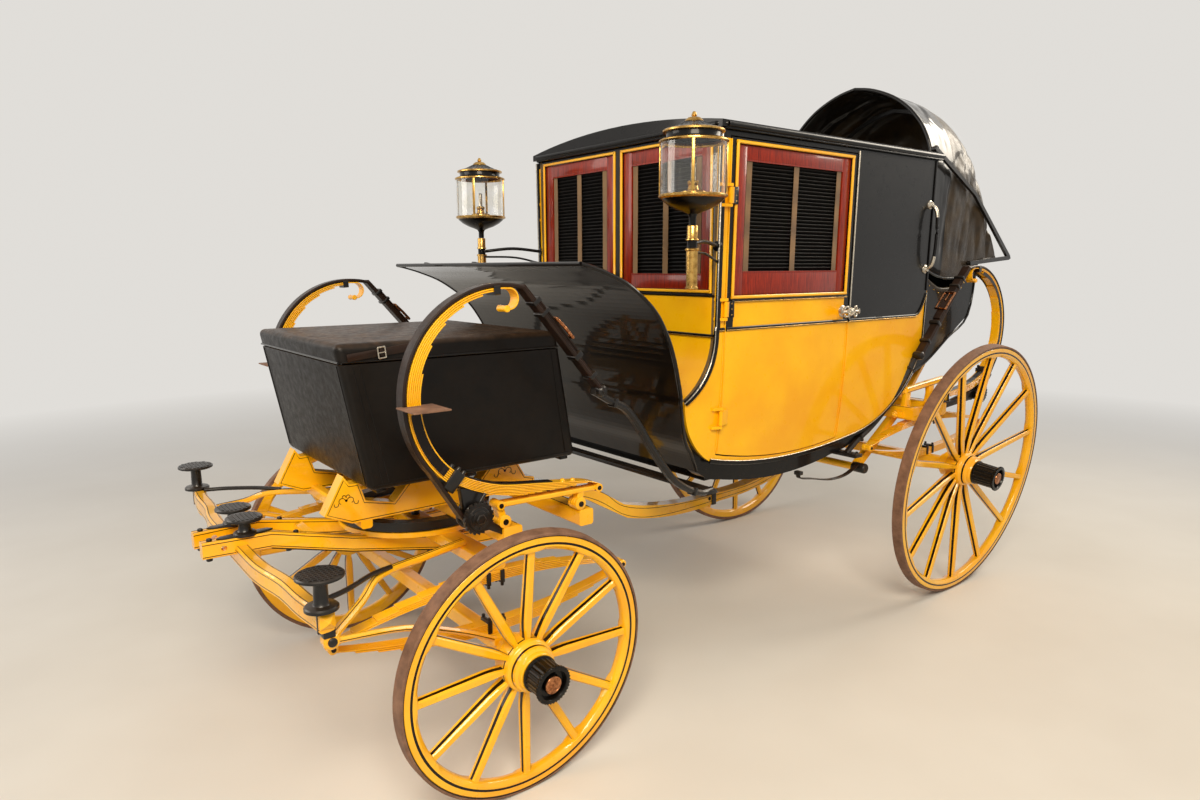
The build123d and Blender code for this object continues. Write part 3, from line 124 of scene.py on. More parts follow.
class Finish:
    """A material while it is being made, on the coordinates of its piece, in metres."""

    def __init__(self, name, **surface):
        self.material = bpy.data.materials.new(name)
        self.material.use_nodes = True
        self.tree = self.material.node_tree
        self.shader = self.tree.nodes["Principled BSDF"]
        self.place = self.node("TexCoord", out="Object")
        self.set(**surface)

    def node(self, kind, *feeds, **settings):
        return node(self.tree, kind, *feeds, **settings)

    def set(self, **surface):
        """Gives sockets of the shader a number or a pattern."""
        for name, value in surface.items():
            feed(self.shader.inputs[name.replace("_", " ")], value)

    def lumps(self, size_mm, detail=3.0, rough=0.55, spread=None, place=None):
        """Soft lumps about size_mm across; spread (low, high, start, end) stretches their values."""
        made = self.node("TexNoise", place or self.place, 1 / (size_mm * MM), detail, rough)
        return self.node("MapRange", made, *spread) if spread else made

    def tones(self, deep, bright, size_mm, detail=3.0, rough=0.55, low=0.3, high=0.7, place=None):
        """A colour that wanders between two tones in lumps about size_mm across."""
        share = self.lumps(size_mm, detail, rough, (low, high, 0.0, 1.0), place)
        return self.node("Mix", share, deep, bright, data_type="RGBA")

    def dusty(self, tone, dust, most):
        """Dust over a tone, more where the surface faces up, in soft patches 60 mm across."""
        normal = self.node("NewGeometry", out="Normal")
        up = self.node("MapRange", self.node("SeparateXYZ", normal, out=2), 0.2, 1.0, 0.0, 1.0)
        patch = self.node("Math.MULTIPLY", up, self.lumps(60, 5.0, 0.6, (0.35, 0.75, 0.15, 1.0)))
        return self.node("Mix", self.node("Math.MULTIPLY", patch, most), tone, dust, data_type="RGBA")

    def relief(self, height, depth_mm, strength=1.0, soft_mm=0.0):
        """Raises the surface by height times depth_mm, over edges softened by soft_mm."""
        edge = {"Normal": self.node("Bevel", soft_mm * MM, samples=4)} if soft_mm else {}
        self.set(Normal=self.node("Bump", Strength=strength, Distance=depth_mm * MM, Height=height, **edge))


def varnish(name, deep, bright, dust, dust_most, sheen, gloss):
    """Oil paint flatted and brushed over with coach varnish: a deep even colour under a thick clear gloss."""
    paint = Finish(name, Coat_Weight=0.7, Coat_Roughness=0.07, Coat_IOR=gloss, Specular_IOR_Level=sheen)
    paint.set(Base_Color=paint.dusty(paint.tones(deep, bright, 220, 4.0), dust, dust_most),
              Roughness=paint.lumps(35, 6.0, 0.65, (0.3, 0.75, 0.24, 0.42)))
    paint.relief(paint.lumps(9, 2.0), 0.12, 0.35, 1.4)
    return paint.material


def leather(name, deep, bright, gloss, grain_mm, depth_mm, dust, dust_most):
    """Grained hide: small pebbles between fine creases, duller where it is handled."""
    hide = Finish(name, Coat_Weight=gloss, Coat_Roughness=0.16, Coat_IOR=1.3, IOR=1.46,
                  Specular_IOR_Level=0.2)
    hide.set(Base_Color=hide.dusty(hide.tones(deep, bright, 90, 6.0, 0.6, 0.3, 0.72), dust, dust_most),
             Roughness=hide.lumps(25, 5.0, spread=(0.3, 0.7, 0.34, 0.58)))
    pebble = hide.node("TexVoronoi", hide.place, Scale=1 / (grain_mm * MM), feature="DISTANCE_TO_EDGE")
    pebble = hide.node("MapRange", pebble, 0.0, 0.25, 0.0, 1.0)
    hide.relief(hide.node("Math.ADD", pebble, hide.lumps(14, 6.0, 0.7)), depth_mm, 0.6)
    return hide.material


def patent_leather():
    """Japanned dash leather: mirror-like, with the faint waves of stretched hide."""
    hide = Finish("patent_leather", Coat_Weight=1.0, Coat_Roughness=0.04, Coat_IOR=1.28, Roughness=0.3,
                  Specular_IOR_Level=0.1)
    hide.set(Base_Color=hide.dusty(hide.tones("#050404", "#0D0907", 150, 4.0), "#5B4C3B", 0.12))
    hide.relief(hide.lumps(70, 3.0, 0.45), 1.6, 0.35)
    return hide.material


def mahogany():
    """Varnished mahogany: red-brown with fine dark grain 3 mm wide, running up and down."""
    wood = Finish("varnished_mahogany", Coat_Weight=0.8, Coat_Roughness=0.08, Coat_IOR=1.3,
                  Specular_IOR_Level=0.2)
    stretched = wood.node("Mapping", wood.place, Scale=(1.0, 1.0, 0.06))
    wood.set(Base_Color=wood.tones("#5A1004", "#9E2A08", 5, 7.0, 0.7, 0.35, 0.68, stretched),
             Roughness=wood.lumps(5, 7.0, 0.7, (0.3, 0.7, 0.4, 0.28), stretched))
    wood.relief(wood.lumps(5, 7.0, 0.7, place=stretched), 0.12, 0.4, 0.8)
    return wood.material


def metal(name, deep, bright, smooth, rough, tarnish_mm):
    """Solid metal with tarnish in patches."""
    plate = Finish(name, Metallic=1.0)
    plate.set(Base_Color=plate.tones(deep, bright, tarnish_mm, 6.0, 0.65, 0.32, 0.62),
              Roughness=plate.lumps(tarnish_mm, 6.0, 0.65, (0.3, 0.7, rough, smooth)))
    plate.relief(plate.lumps(tarnish_mm, 6.0, 0.65), 0.06, 0.3, 0.6)
    return plate.material


def painted_iron():
    """Forged iron under thick black paint, with the hammer's shallow dents."""
    iron = Finish("black_painted_iron", Coat_Weight=0.5, Coat_Roughness=0.18, Coat_IOR=1.35,
                  Specular_IOR_Level=0.3)
    iron.set(Base_Color=iron.dusty(iron.tones("#060505", "#110D0A", 40, 6.0, 0.65, 0.35, 0.8), "#6B5540",
                                   0.25), Roughness=iron.lumps(12, 5.0, spread=(0.3, 0.7, 0.3, 0.5)))
    iron.relief(iron.lumps(16), 0.5, 0.35, 1.0)
    return iron.material


def tyre_iron():
    """Iron tyre, rolled dull and dusty brown, pitted darker by the road."""
    iron = Finish("worn_tyre_iron", Metallic=0.25)
    tone = iron.tones("#5E4130", "#94705A", 45, 8.0, 0.7, 0.3, 0.72)
    pits = iron.lumps(3, 4.0, 0.7, (0.62, 0.72, 0.0, 0.7))
    iron.set(Base_Color=iron.node("Mix", pits, tone, "#3A261B", data_type="RGBA"),
             Roughness=iron.lumps(45, 8.0, 0.7, (0.3, 0.7, 0.62, 0.85)))
    iron.relief(iron.node("Math.ADD", iron.lumps(3, 4.0, 0.7), iron.lumps(45, 8.0, 0.7)), 0.6, 0.5, 1.5)
    return iron.material


def lamp_glass():
    """Lamp glass, faintly grey in soft patches 60 mm across."""
    glass = Finish("lamp_glass", Transmission_Weight=1.0, Roughness=0.02, IOR=1.45)
    glass.set(Base_Color=glass.tones("#F1EFE6", "#FFFFFF", 60))
    return glass.material


def woven(name, deep, bright, thread_mm):
    """Woven cloth: crossed threads, drawn coarse enough to show, with painted shade where they dip and a soft
    sheen.
    """
    cloth = Finish(name, Roughness=0.9, Sheen_Weight=0.35, Sheen_Roughness=0.5)
    threads = None
    for axis in range(3):
        turns = cloth.node("Math.MULTIPLY", cloth.node("SeparateXYZ", cloth.place, out=axis),
                           math.tau / (thread_mm * MM))
        wave = cloth.node("Math.SINE", turns)
        threads = cloth.node("Math.ADD", threads, wave) if threads else wave
    height = cloth.node("MapRange", threads, -2.0, 2.0, 0.0, 1.0)
    # Colour follows the threads' height: darker where they dip, which is painted shade between the threads,
    # mixed with random lumps of tone
    shade = cloth.node("Math.ADD", cloth.node("Math.MULTIPLY", height, 0.5),
                       cloth.node("Math.MULTIPLY", cloth.lumps(70), 0.5))
    shade = cloth.node("MapRange", shade, 0.3, 0.7, 0.0, 1.0)
    cloth.set(Base_Color=cloth.node("Mix", shade, deep, bright, data_type="RGBA"))
    cloth.relief(height, 0.5, 0.6)
    return cloth.material


def slat_paint_and_shade():
    """Slats of the blinds in dull black paint, and the sheet of painted shade behind them."""
    slats = Finish("dull_black_slats_and_painted_shade", Specular_IOR_Level=0.25)
    slats.set(Base_Color=slats.tones("#060404", "#0E0A08", 40, 5.0),
              Roughness=slats.lumps(20, 4.0, spread=(0.3, 0.7, 0.5, 0.68)))
    slats.relief(slats.lumps(6), 0.1, 0.3)
    return slats.material


# Chrome yellow coach paint, slightly orange in the shade and dusty on top
YELLOW = varnish("yellow_coach_varnish", "#F2A904", "#FDC00E", "#C9A56A", 0.14, 0.3, 1.5)
# Black japan under varnish, which mirrors the room in long streaks
BLACK = varnish("black_japan_varnish", "#040303", "#080605", "#5B4C3B", 0.05, 0.1, 1.28)
# Black striping brushed on the yellow, flat and thin; also the painted shade band up the rear C-springs
LINING_AND_SHADE = varnish("black_lining_and_shade_paint", "#0C0603", "#150A04", "#5B4C3B", 0.03, 0.1, 1.3)
# Old blackened hide, dry and rubbed brown on its front, with grain 3 mm wide so that it shows
HIDE = leather("blackened_hide", "#070504", "#130D08", 0.12, 3.0, 0.25, "#6F5540", 0.55)
# Oiled hood hide, creased in folds and shiny, dark brown to olive-brown in soft patches and paler olive where
# it faces up
HOOD_HIDE = leather("oiled_hood_hide", "#171009", "#3A2D1A", 0.5, 4.0, 0.5, "#8C7A58", 0.4)
# Thick dark brown strap leather with an oiled sheen
HARNESS = leather("harness_leather", "#120A06", "#28170E", 0.35, 2.5, 0.12, "#6F5540", 0.2)
PATENT = patent_leather()
MAHOGANY = mahogany()
# Polished brass, browner where the polish misses
BRASS = metal("polished_brass", "#8A6430", "#D9AF62", 0.16, 0.4, 18)
# Silver plate worn warm, with grey tarnish in its hollows
SILVER = metal("silver_plate", "#8D8272", "#DAD2C2", 0.18, 0.42, 6)
# Reddish buckle bronze, bright where the leather rubs it
COPPER = metal("buckle_bronze", "#5E3420", "#BE8258", 0.16, 0.36, 10)
IRON = painted_iron()
TYRE = tyre_iron()
GLASS = lamp_glass()
# Woven blind strap, brown with a rib every 3 mm
WEBBING = woven("blind_webbing", "#523A22", "#80603A", 3.0)
# Drab wool coach cloth
CLOTH = woven("drab_coach_cloth", "#5E4B33", "#8A7350", 3.5)
SLATS_AND_SHADE = slat_paint_and_shade()


# Mesh work: each shape is made in a small mesh of its own and then joined to its piece
class Piece:
    """One piece of the coach while it is being made."""

    def __init__(self, name, *materials):
        self.name = name
        self.bm = bmesh.new()
        self.materials = materials

    def add(self, local, material=None, matrix=None):
        """Joins a small mesh to the piece, placed by a matrix and given a material number."""
        if matrix is not None:
            bmesh.ops.transform(local, matrix=matrix, verts=local.verts)
        if material is not None:
            for face in local.faces:
                face.material_index = material
        bmesh.ops.recalc_face_normals(local, faces=local.faces)
        mesh = bpy.data.meshes.new("shape")
        local.to_mesh(mesh)
        local.free()
        self.bm.from_mesh(mesh)
        bpy.data.meshes.remove(mesh)

    def finish(self, body, replaces=(), crease=35, rounding=0):
        """Turns the mesh into an object that rides on a body."""
        bm = self.bm
        for face in bm.faces:
            face.smooth = True
        for edge in bm.edges:
            edge.smooth = len(edge.link_faces) == 2 and edge.calc_face_angle() < math.radians(crease)
        mesh = bpy.data.meshes.new(self.name)
        bm.to_mesh(mesh)
        bm.free()
        for material in self.materials:
            mesh.materials.append(material)
        made = bpy.data.objects.new(self.name, mesh)
        bpy.context.scene.collection.objects.link(made)
        if rounding:
            smoother = made.modifiers.new("rounding", "SUBSURF")
            smoother.levels = rounding
            smoother.render_levels = rounding
        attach(made, body)
        if replaces:
            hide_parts(*replaces)
        return made


def lathe(piece, profile, matrix=Matrix(), steps=48, materials=0, shape=None):
    """Turns a profile of (radius, height) millimetres round local Z; materials may be one per stretch."""
    if isinstance(materials, int):
        materials = [materials] * (len(profile) - 1)
    local = bmesh.new()
    ends = [local.verts.new((radius * MM, 0, height * MM)) for radius, height in profile]
    edges = [local.edges.new(pair) for pair in zip(ends[:-1], ends[1:])]
    bmesh.ops.spin(local, geom=[*ends, *edges], axis=(0, 0, 1), cent=(0, 0, 0), steps=steps, angle=math.tau,
                   use_merge=True)
    stretches = [(Vector(((a[0] + b[0]) / 2, (a[1] + b[1]) / 2)), m)
                 for a, b, m in zip(profile[:-1], profile[1:], materials)]
    if len(set(materials)) > 1:
        for face in local.faces:
            middle = face.calc_center_median() / MM
            here = Vector((middle.xy.length, middle.z))
            face.material_index = min(stretches, key=lambda stretch: (stretch[0] - here).length)[1]
    elif materials[0]:
        for face in local.faces:
            face.material_index = materials[0]
    bmesh.ops.remove_doubles(local, verts=local.verts, dist=0.02 * MM)
    if shape:
        shape(local)
    piece.add(local, None, matrix)


def facing(origin, along, up=UP):
    """Matrix at origin whose Z runs along and whose Y leans up."""
    z = Vector(along).normalized()
    x = Vector(up).cross(z)
    if x.length < 1e-4:
        x = FORWARD.cross(z)
    x.normalize()
    matrix = Matrix((x, z.cross(x), z)).transposed().to_4x4()
    matrix.translation = origin
    return matrix


def turning(matrix):
    """The turn of a matrix, without its place."""
    return matrix.to_3x3().to_4x4()


def frames_along(path, up=UP, sizes=None):
    """A frame at each point of a path, turned with it; sizes scale the section there, as (across, up)."""
    frames = []
    for number, point in enumerate(path):
        before = path[max(number - 1, 0)]
        after = path[min(number + 1, len(path) - 1)]
        frame = facing(point, after - before, up)
        if sizes:
            frame = frame @ Matrix.Diagonal((*sizes[number], 1, 1))
        frames.append(frame)
    return frames


def sweep(piece, section, frames, material=0, shape=None):
    """Extrudes a section of (across, up) millimetres from frame to frame."""
    local = bmesh.new()
    face = local.faces.new([local.verts.new(frames[0] @ mm(a, b, 0)) for a, b in section])
    for here, there in zip(frames[:-1], frames[1:]):
        made = bmesh.ops.extrude_face_region(local, geom=[face])["geom"]
        ring = [g for g in made if isinstance(g, bmesh.types.BMVert)]
        face = next(g for g in made if isinstance(g, bmesh.types.BMFace))
        bmesh.ops.transform(local, matrix=there @ here.inverted(), verts=ring)
    for made in local.faces:
        made.material_index = material
    if shape:
        shape(local)
    piece.add(local)


def disc(radius, steps=12):
    """Round section."""
    turns = [math.tau * n / steps for n in range(steps)]
    return [(radius * math.cos(turn), radius * math.sin(turn)) for turn in turns]


def oblong(wide, high, corner):
    """Rectangular section with cut corners."""
    a, b, c = wide / 2, high / 2, corner
    return [(a, b - c), (a - c, b), (c - a, b), (-a, b - c), (-a, c - b), (c - a, -b), (a - c, -b),
            (a, c - b)]


def smooth_path(points, steps=6):
    """More points along a path, on a curve that passes through the given ones."""
    ends = [points[0] * 2 - points[1], *points, points[-1] * 2 - points[-2]]
    made = []
    for a, b, c, d in zip(ends[:-3], ends[1:-2], ends[2:-1], ends[3:]):
        for step in range(steps):
            t = step / steps
            made.append(0.5 * (2 * b + (c - a) * t + (2 * a - 5 * b + 4 * c - d) * t * t
                               + (3 * b - a - 3 * c + d) * t ** 3))
    return [*made, points[-1].copy()]


def rod(piece, points, radius, material=0, round_steps=10):
    """Round bar through points in metres."""
    sweep(piece, disc(radius, round_steps), frames_along(points), material)


def block(piece, centre, size, material=0, cut=1.0, turn=Matrix()):
    """Box with eased edges; centre is a point in metres, size in millimetres."""
    local = bmesh.new()
    bmesh.ops.create_cube(local, size=1.0, matrix=Matrix.Diagonal((*[s * MM for s in size], 1)))
    if cut:
        bmesh.ops.bevel(local, geom=list(local.edges), offset=cut * MM, offset_type="OFFSET", segments=2,
                        profile=0.5, affect="EDGES", material=-1)
    piece.add(local, material, Matrix.Translation(centre) @ turn)


def plate(piece, outline, thick, matrix, material=0, cut=0.0):
    """Flat piece: an outline of (x, y) millimetres in the matrix's plane, half of thick each way along Z."""
    local = bmesh.new()
    face = local.faces.new([local.verts.new((x * MM, y * MM, -thick / 2 * MM)) for x, y in outline])
    made = bmesh.ops.extrude_face_region(local, geom=[face])["geom"]
    bmesh.ops.translate(local, vec=(0, 0, thick * MM),
                        verts=[g for g in made if isinstance(g, bmesh.types.BMVert)])
    bmesh.ops.recalc_face_normals(local, faces=local.faces)
    if cut:
        edges = [e for e in local.edges if e.calc_face_angle(0) > 0.6]
        bmesh.ops.bevel(local, geom=edges, offset=cut * MM, offset_type="OFFSET", segments=2, profile=0.5,
                        affect="EDGES", material=-1)
    piece.add(local, material, matrix)


def upright(y):
    """Plane across which an outline of (x from the rear axle, z) millimetres stands, at y millimetres."""
    matrix = Matrix(((1, 0, 0), (0, 0, -1), (0, 1, 0))).to_4x4()
    matrix.translation = spot(0, y, 0)
    return matrix


def pin(piece, origin, along, radius, length, material=0, head=0.0):
    """Round pin from origin along a direction, with a domed end where head is set."""
    profile = [(0, 0), (radius, 0), (radius, length - head)]
    if head:
        profile += [(radius * 0.86, length - head * 0.45), (radius * 0.5, length - head * 0.1)]
    profile.append((0, length))
    lathe(piece, profile, facing(origin, along), 20, material)


# Wheels
FELLOE_DEPTH = 46
RIM_WIDTH = 46
TYRE_THICK = 12
NAVE_R = 86
NAVE_HALF = 84
CAP_END = 124
LINE_WIDE = 8
SPOKES = {"front": 12, "rear": 14}
# spoke stations: share of the way out, width across, depth
SPOKE_STATIONS = ((0.0, 19, 46), (0.06, 20, 45), (0.14, 27, 41), (0.24, 31, 38), (0.6, 29, 34),
                  (0.96, 27, 31), (1.0, 29, 32))
SPOKE_SECTION = ((0.3, 0.5), (-0.3, 0.5), (-0.46, 0.38), (-0.5, 0.3), (-0.5, -0.06), (-0.5, -0.32),
                 (-0.3, -0.5), (0.3, -0.5), (0.5, -0.32), (0.5, -0.06), (0.5, 0.3), (0.46, 0.38))
SPOKE_LINE = (0.8, 9.0)


def add_spokes(piece, inner, outer, root, count):
    """Spokes throated at the nave, with a black line down each flank."""
    start = mm(inner, 0, root)
    end = mm(outer, 0, -RIM_WIDTH / 2)
    path = [start.lerp(end, share) for share, _, _ in SPOKE_STATIONS]
    sizes = [(wide, deep) for _, wide, deep in SPOKE_STATIONS]

    def line_and_repeat(local):
        """Paints the lines of one spoke and copies it round the nave."""
        for face in local.faces:
            centre = face.calc_center_median()
            above = (centre.z - start.lerp(end, (centre.x - start.x) / (end.x - start.x)).z) / MM
            face.normal_update()
            face.material_index = int(abs(face.normal.y) > 0.9 and SPOKE_LINE[0] < above < SPOKE_LINE[1])
        bmesh.ops.spin(local, geom=[*local.verts, *local.edges, *local.faces], axis=(0, 0, 1), cent=(0, 0, 0),
                       steps=count - 1, angle=math.tau * (count - 1) / count, use_duplicate=True)

    sweep(piece, SPOKE_SECTION, frames_along(path, UP, sizes), 0, line_and_repeat)


def ease_felloe(local, inner, count):
    """Cuts the felloe's inner corners back between the spokes, and leaves them square at each spoke."""
    for v in local.verts:
        radius = v.co.xy.length / MM
        if radius > inner + 9:
            continue
        share = math.atan2(v.co.y, v.co.x) / math.tau * count % 1
        between = min(1.0, max(0.0, (min(share, 1 - share) - 0.1) / 0.12))
        ease = between * between * (3 - 2 * between)
        height = v.co.z / MM
        if abs(height) < 1 or abs(height + RIM_WIDTH) < 1:
            v.co.xy *= 1 + 6.5 * ease / radius
        else:
            middle = -RIM_WIDTH / 2
            v.co.z = (middle + (height - middle) * (1 - 0.34 * ease)) * MM


def wear_tyre(local, radius):
    """Slight hollows and bumps on the tread."""
    for v in local.verts:
        out = v.co.xy.length / MM
        if out > radius - 1:
            v.co.xy *= 1 + 0.5 * noise.noise(v.co * 60) / out


def flute_cap(local, base):
    """Flutes on the cap's barrel and teeth round its rim."""
    for v in local.verts:
        out = v.co.xy.length / MM
        turn = math.atan2(v.co.y, v.co.x)
        height = v.co.z / MM
        if 53 < out < 59 and base + 10 < height < CAP_END - 12:
            v.co.xy *= 1 - 2.2 * abs(math.sin(turn * 12)) / out
        elif out > 57 and height > CAP_END - 12:
            v.co.xy *= 1 + (1.6 if math.sin(turn * 36) > 0 else -1.6) / out


def build_wheel(corner, side, joint):
    """Wheel, tyre and hub cap of one corner, in the frame of its joint."""
    axis = Vector(joint["axis"])
    matrix = facing(Vector(joint["pos_m"]), axis, FORWARD)
    place = f"{corner}_{side}"
    body = f"wheel_{place}"
    low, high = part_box(f"tyre_{place}")
    lean = abs(axis.z / axis.y)
    flare = RIM_WIDTH * lean
    radius = (high.x - low.x) / 2 / MM - flare
    count = SPOKES[corner]
    outer = radius - TYRE_THICK
    inner = outer - FELLOE_DEPTH
    root = -RIM_WIDTH / 2 - (inner - NAVE_R) * lean

    tyre = Piece(f"tyre_dressed_{place}", TYRE, LINING_AND_SHADE)
    lathe(tyre, [(outer + 0.3, -0.5), (outer + 0.3, 0.4), (outer + 3, 1.2), (radius - 2.5, 0.8),
                 (radius, -1.5), (radius + 0.4 * flare, -0.35 * RIM_WIDTH),
                 (radius + 0.9 * flare, 2.5 - RIM_WIDTH), (radius + flare - 2, -RIM_WIDTH),
                 (outer + 0.3, -RIM_WIDTH), (outer + 0.3, -0.5)], matrix, 160, [1, 1, 0, 0, 0, 0, 0, 0, 0],
          lambda local: wear_tyre(local, radius))
    tyre.finish(body, [f"tyre_{place}"])

    wheel = Piece(f"wheel_dressed_{place}", YELLOW, LINING_AND_SHADE)
    line = inner + FELLOE_DEPTH * 0.42
    lathe(wheel, [(inner, -9), (inner + 3, -1.5), (inner + 7, 0), (line, 0), (line + LINE_WIDE, 0),
                  (outer - 2, 0), (outer, -2), (outer, 2 - RIM_WIDTH), (outer - 2, -RIM_WIDTH),
                  (inner + 7, -RIM_WIDTH), (inner + 3, 1.5 - RIM_WIDTH), (inner, 9 - RIM_WIDTH), (inner, -9)],
          matrix, count * 14, [0, 0, 0, 1, 0, 0, 0, 0, 0, 0, 0, 0],
          lambda local: ease_felloe(local, inner, count))
    spokes = Piece("spokes")
    add_spokes(spokes, NAVE_R - 10, inner + 5, root, count)
    wheel.add(spokes.bm, None, matrix)
    back, front = root - NAVE_HALF, root + NAVE_HALF
    lathe(wheel, [(23, back), (60, back), (63, back + 3), (65, root - 52), (70, root - 48), (84, root - 40),
                  (NAVE_R, root - 36), (NAVE_R + 1, root + 12), (NAVE_R + 1, root + 17), (NAVE_R, root + 34),
                  (NAVE_R - 3, root + 38), (78, root + 40), (76, root + 43), (76, root + 44), (76, root + 53),
                  (74, root + 62), (68, root + 66), (66, root + 68), (66, front - 6), (62, front),
                  (23, front), (23, back)], matrix, 72, [0] * 7 + [1] + [0] * 5 + [1] + [0] * 7)
    wheel.finish(body, [f"wheel_{place}"])

    cap = Piece(f"hub_dressed_{place}", BLACK, COPPER)
    lathe(cap, [(30, front), (58, front), (60, front + 3), (60, front + 8), (56, front + 11),
                (55, CAP_END - 14), (58, CAP_END - 11), (61, CAP_END - 8), (61, CAP_END - 2), (58, CAP_END),
                (48, CAP_END), (45, CAP_END - 5), (43, CAP_END - 18), (30, CAP_END - 20), (30, CAP_END - 5),
                (28, CAP_END - 2), (24, CAP_END - 1), (23, CAP_END - 2), (12, CAP_END), (0, CAP_END + 1)],
          matrix, 144, [0] * 14 + [1] * 5, lambda local: flute_cap(local, front))
    cap.finish(body, [f"hub_{place}"])


for joint in frame["joints"]:
    for corner in SPOKES:
        for side, _ in SIDES:
            if joint["name"] == f"{corner}_wheel_{side}":
                build_wheel(corner, side, joint)


# C-springs: leaves that fan out of a foot, a curl at the head, a straight stack of leaves behind the foot
SPRING_Y = 630
SPRING_WIDE = 46
FOOT_ANGLE = -50
C_DEEP = 45
TAIL_DEEP = 36
# how far up from the foot each leaf of the C reaches, in degrees, from the outer one
C_REACH = (143, 137, 127, 114, 99, 84, 67)
# where each leaf of the tail ends, ahead of the C's centre, from the top one
TAIL_REACH = (-376, -322, -276, -230, -184, -134, -76)
TAIL_DROOP = (-300, -22)
CURL = (-22, 36, 285)
# name: centre forward of the rear axle, its height, radius, and 1 where the back of the C looks forwards
C_SPRINGS = {"front": (WHEELBASE - 24, 1290, 331, 1), "rear": (-270, 1345, 325, -1)}
# where the brace ends at the body's iron, and its drum, forward of the rear axle and up
BRACE_END = {"front": (WHEELBASE - 412, 1262), "rear": (216, 1240)}
DRUMS = {"front": (WHEELBASE + 92, 909), "rear": (-385, 990)}
DRUM_R = 44
BRACE_LEAVES = 103
LINK_EYES = ((27, -361), (-370, -371))
KNUCKLES = (((27, -361), (11, -418)), ((-300, -371), (-291, -415)))
SADDLE = (-240, 976)
TREAD = (WHEELBASE + 221, WHEELBASE + 337, 641, 763, 1281)


def from_c(which, y, forward, up):
    """A point from a C's centre; forward is measured the way its back looks."""
    x, z, _, facing_way = C_SPRINGS[which]
    return spot(x + facing_way * forward, y, z + up)


def c_arc(which, y, radius, start, end, steps=40):
    """Points round a C, angles in degrees up from straight ahead of its back."""
    turns = [math.radians(start + (end - start) * n / steps) for n in range(steps + 1)]
    return [from_c(which, y, radius * math.cos(t), radius * math.sin(t)) for t in turns]


def flat(piece, points, thick, wide, material=0, corner=1.2):
    """Flat bar or strap that bends along the coach: thick in its bend, wide across the coach."""
    sweep(piece, oblong(thick, wide, corner), frames_along(points, LATERAL), material)


def tail_height(ahead):
    """Upper face of the tail over the centre of the C."""
    way = ahead + 27
    return -301 + way * 0.12 + 0.0011 * max(0, way) ** 2


def build_c_spring(which, side):
    """One C-spring with its curl, tail, black foot and clip."""
    _, _, radius, _ = C_SPRINGS[which]
    y = side * SPRING_Y
    spring = Piece(f"c_spring_{which}_{'left' if side > 0 else 'right'}", YELLOW, LINING_AND_SHADE, IRON, TYRE)
    thick = C_DEEP / len(C_REACH)
    for leaf, reach in enumerate(C_REACH):
        middle = radius - (leaf + 0.5) * thick
        points = c_arc(which, y, middle, FOOT_ANGLE, FOOT_ANGLE + reach, 48)
        if not leaf:
            back, round_r, turned = CURL
            turns = [math.radians(96 + (turned - 96) * n / 24) for n in range(25)]
            points += [from_c(which, y, back + (round_r - thick / 2) * math.cos(t),
                              radius - round_r + (round_r - thick / 2) * math.sin(t)) for t in turns]
        flat(spring, points, thick - 1.7, SPRING_WIDE - leaf * 0.4, 0, 0.9)
    scroll = facing(from_c(which, y, -13, radius - 67), LATERAL)
    lathe(spring, [(0, -27), (9, -27), (11, -24), (10, -8), (10, 8), (11, 24), (9, 27), (0, 27)], scroll, 20)
    # Black bands on both side faces of the C: on the front spring its sides painted black below the tread
    # plate; on the rear spring a narrower band up to 78 degrees, which is painted shade
    for out in (SPRING_Y - SPRING_WIDE / 2 - 0.4, SPRING_Y + SPRING_WIDE / 2 + 0.4):
        until, share = (-6, 0.68) if which == "front" else (78, 0.42)
        flat(spring, c_arc(which, side * out, radius - 0.53 * C_DEEP, -46, until, 40), share * C_DEEP, 1.2, 1,
             0.3)
    keeper = c_arc(which, y, radius - 8, 84, 88, 2)
    flat(spring, keeper, 30, SPRING_WIDE + 8, 2, 3)
    thick = TAIL_DEEP / len(TAIL_REACH)
    for leaf, reach in enumerate(TAIL_REACH):
        points = []
        for n in range(25):
            ahead = 178 + (reach - 178) * n / 24
            droop = TAIL_DROOP[1] * max(0, (TAIL_DROOP[0] - ahead) / 76) ** 2 if not leaf else 0
            points.append(from_c(which, y, ahead, tail_height(ahead) + droop * 0.6 - (leaf + 0.5) * thick))
        flat(spring, points, thick - 1.6, SPRING_WIDE - leaf * 0.3, 0, 0.8)
    crest = [from_c(which, y, ahead, tail_height(ahead) + 1.5) for ahead in (150, 90, 30, -40, -110, -180)]
    flat(spring, crest, 3, SPRING_WIDE - 16, 1, 1)
    for ahead in (-230, -272):
        pin(spring, from_c(which, y, ahead, tail_height(ahead) - 4), UP, 8, 11, 0, 4)
    clip = facing(from_c(which, y, 190, -252), from_c(which, y, 1, 0.9) - from_c(which, y, 0, 0), LATERAL)
    turn = turning(clip)
    block(spring, clip.translation, (68, SPRING_WIDE + 16, 40), 2, 4, turn)
    inward = (from_c(which, y, -0.67, 0.74) - from_c(which, y, 0, 0)) * 1000
    for out in (-1, 1):
        for along_way in (-11, 11):
            place = clip @ mm(0, out * 22, along_way) + inward * 30 * MM
            pin(spring, place, inward, 7, 16, 2, 5)
    if which == "front":
        near, far, inner, outer, height = TREAD
        block(spring, spot((near + far) / 2, side * (inner + outer) / 2, height),
              (far - near, outer - inner, 5), 3, 1.5)
        block(spring, spot((near + far) / 2 - 20, side * (inner + 4), height - 12), (40, 8, 24), 2, 2)
    spring.finish("root", [f"{which}_c_springs"])


def barrel(piece, centre, radius, wide):
    """Ribbed knuckle across the coach."""
    profile = [(0, -wide / 2), (radius - 3, -wide / 2)]
    ribs = 4
    step = wide / ribs
    for rib in range(ribs):
        low = rib * step - wide / 2
        profile += [(radius, low + 0.15 * step), (radius + 1, low + 0.5 * step), (radius, low + 0.85 * step),
                    (radius - 3, low + step)]
    profile.append((0, wide / 2))
    lathe(piece, profile, facing(centre, LATERAL), 24)


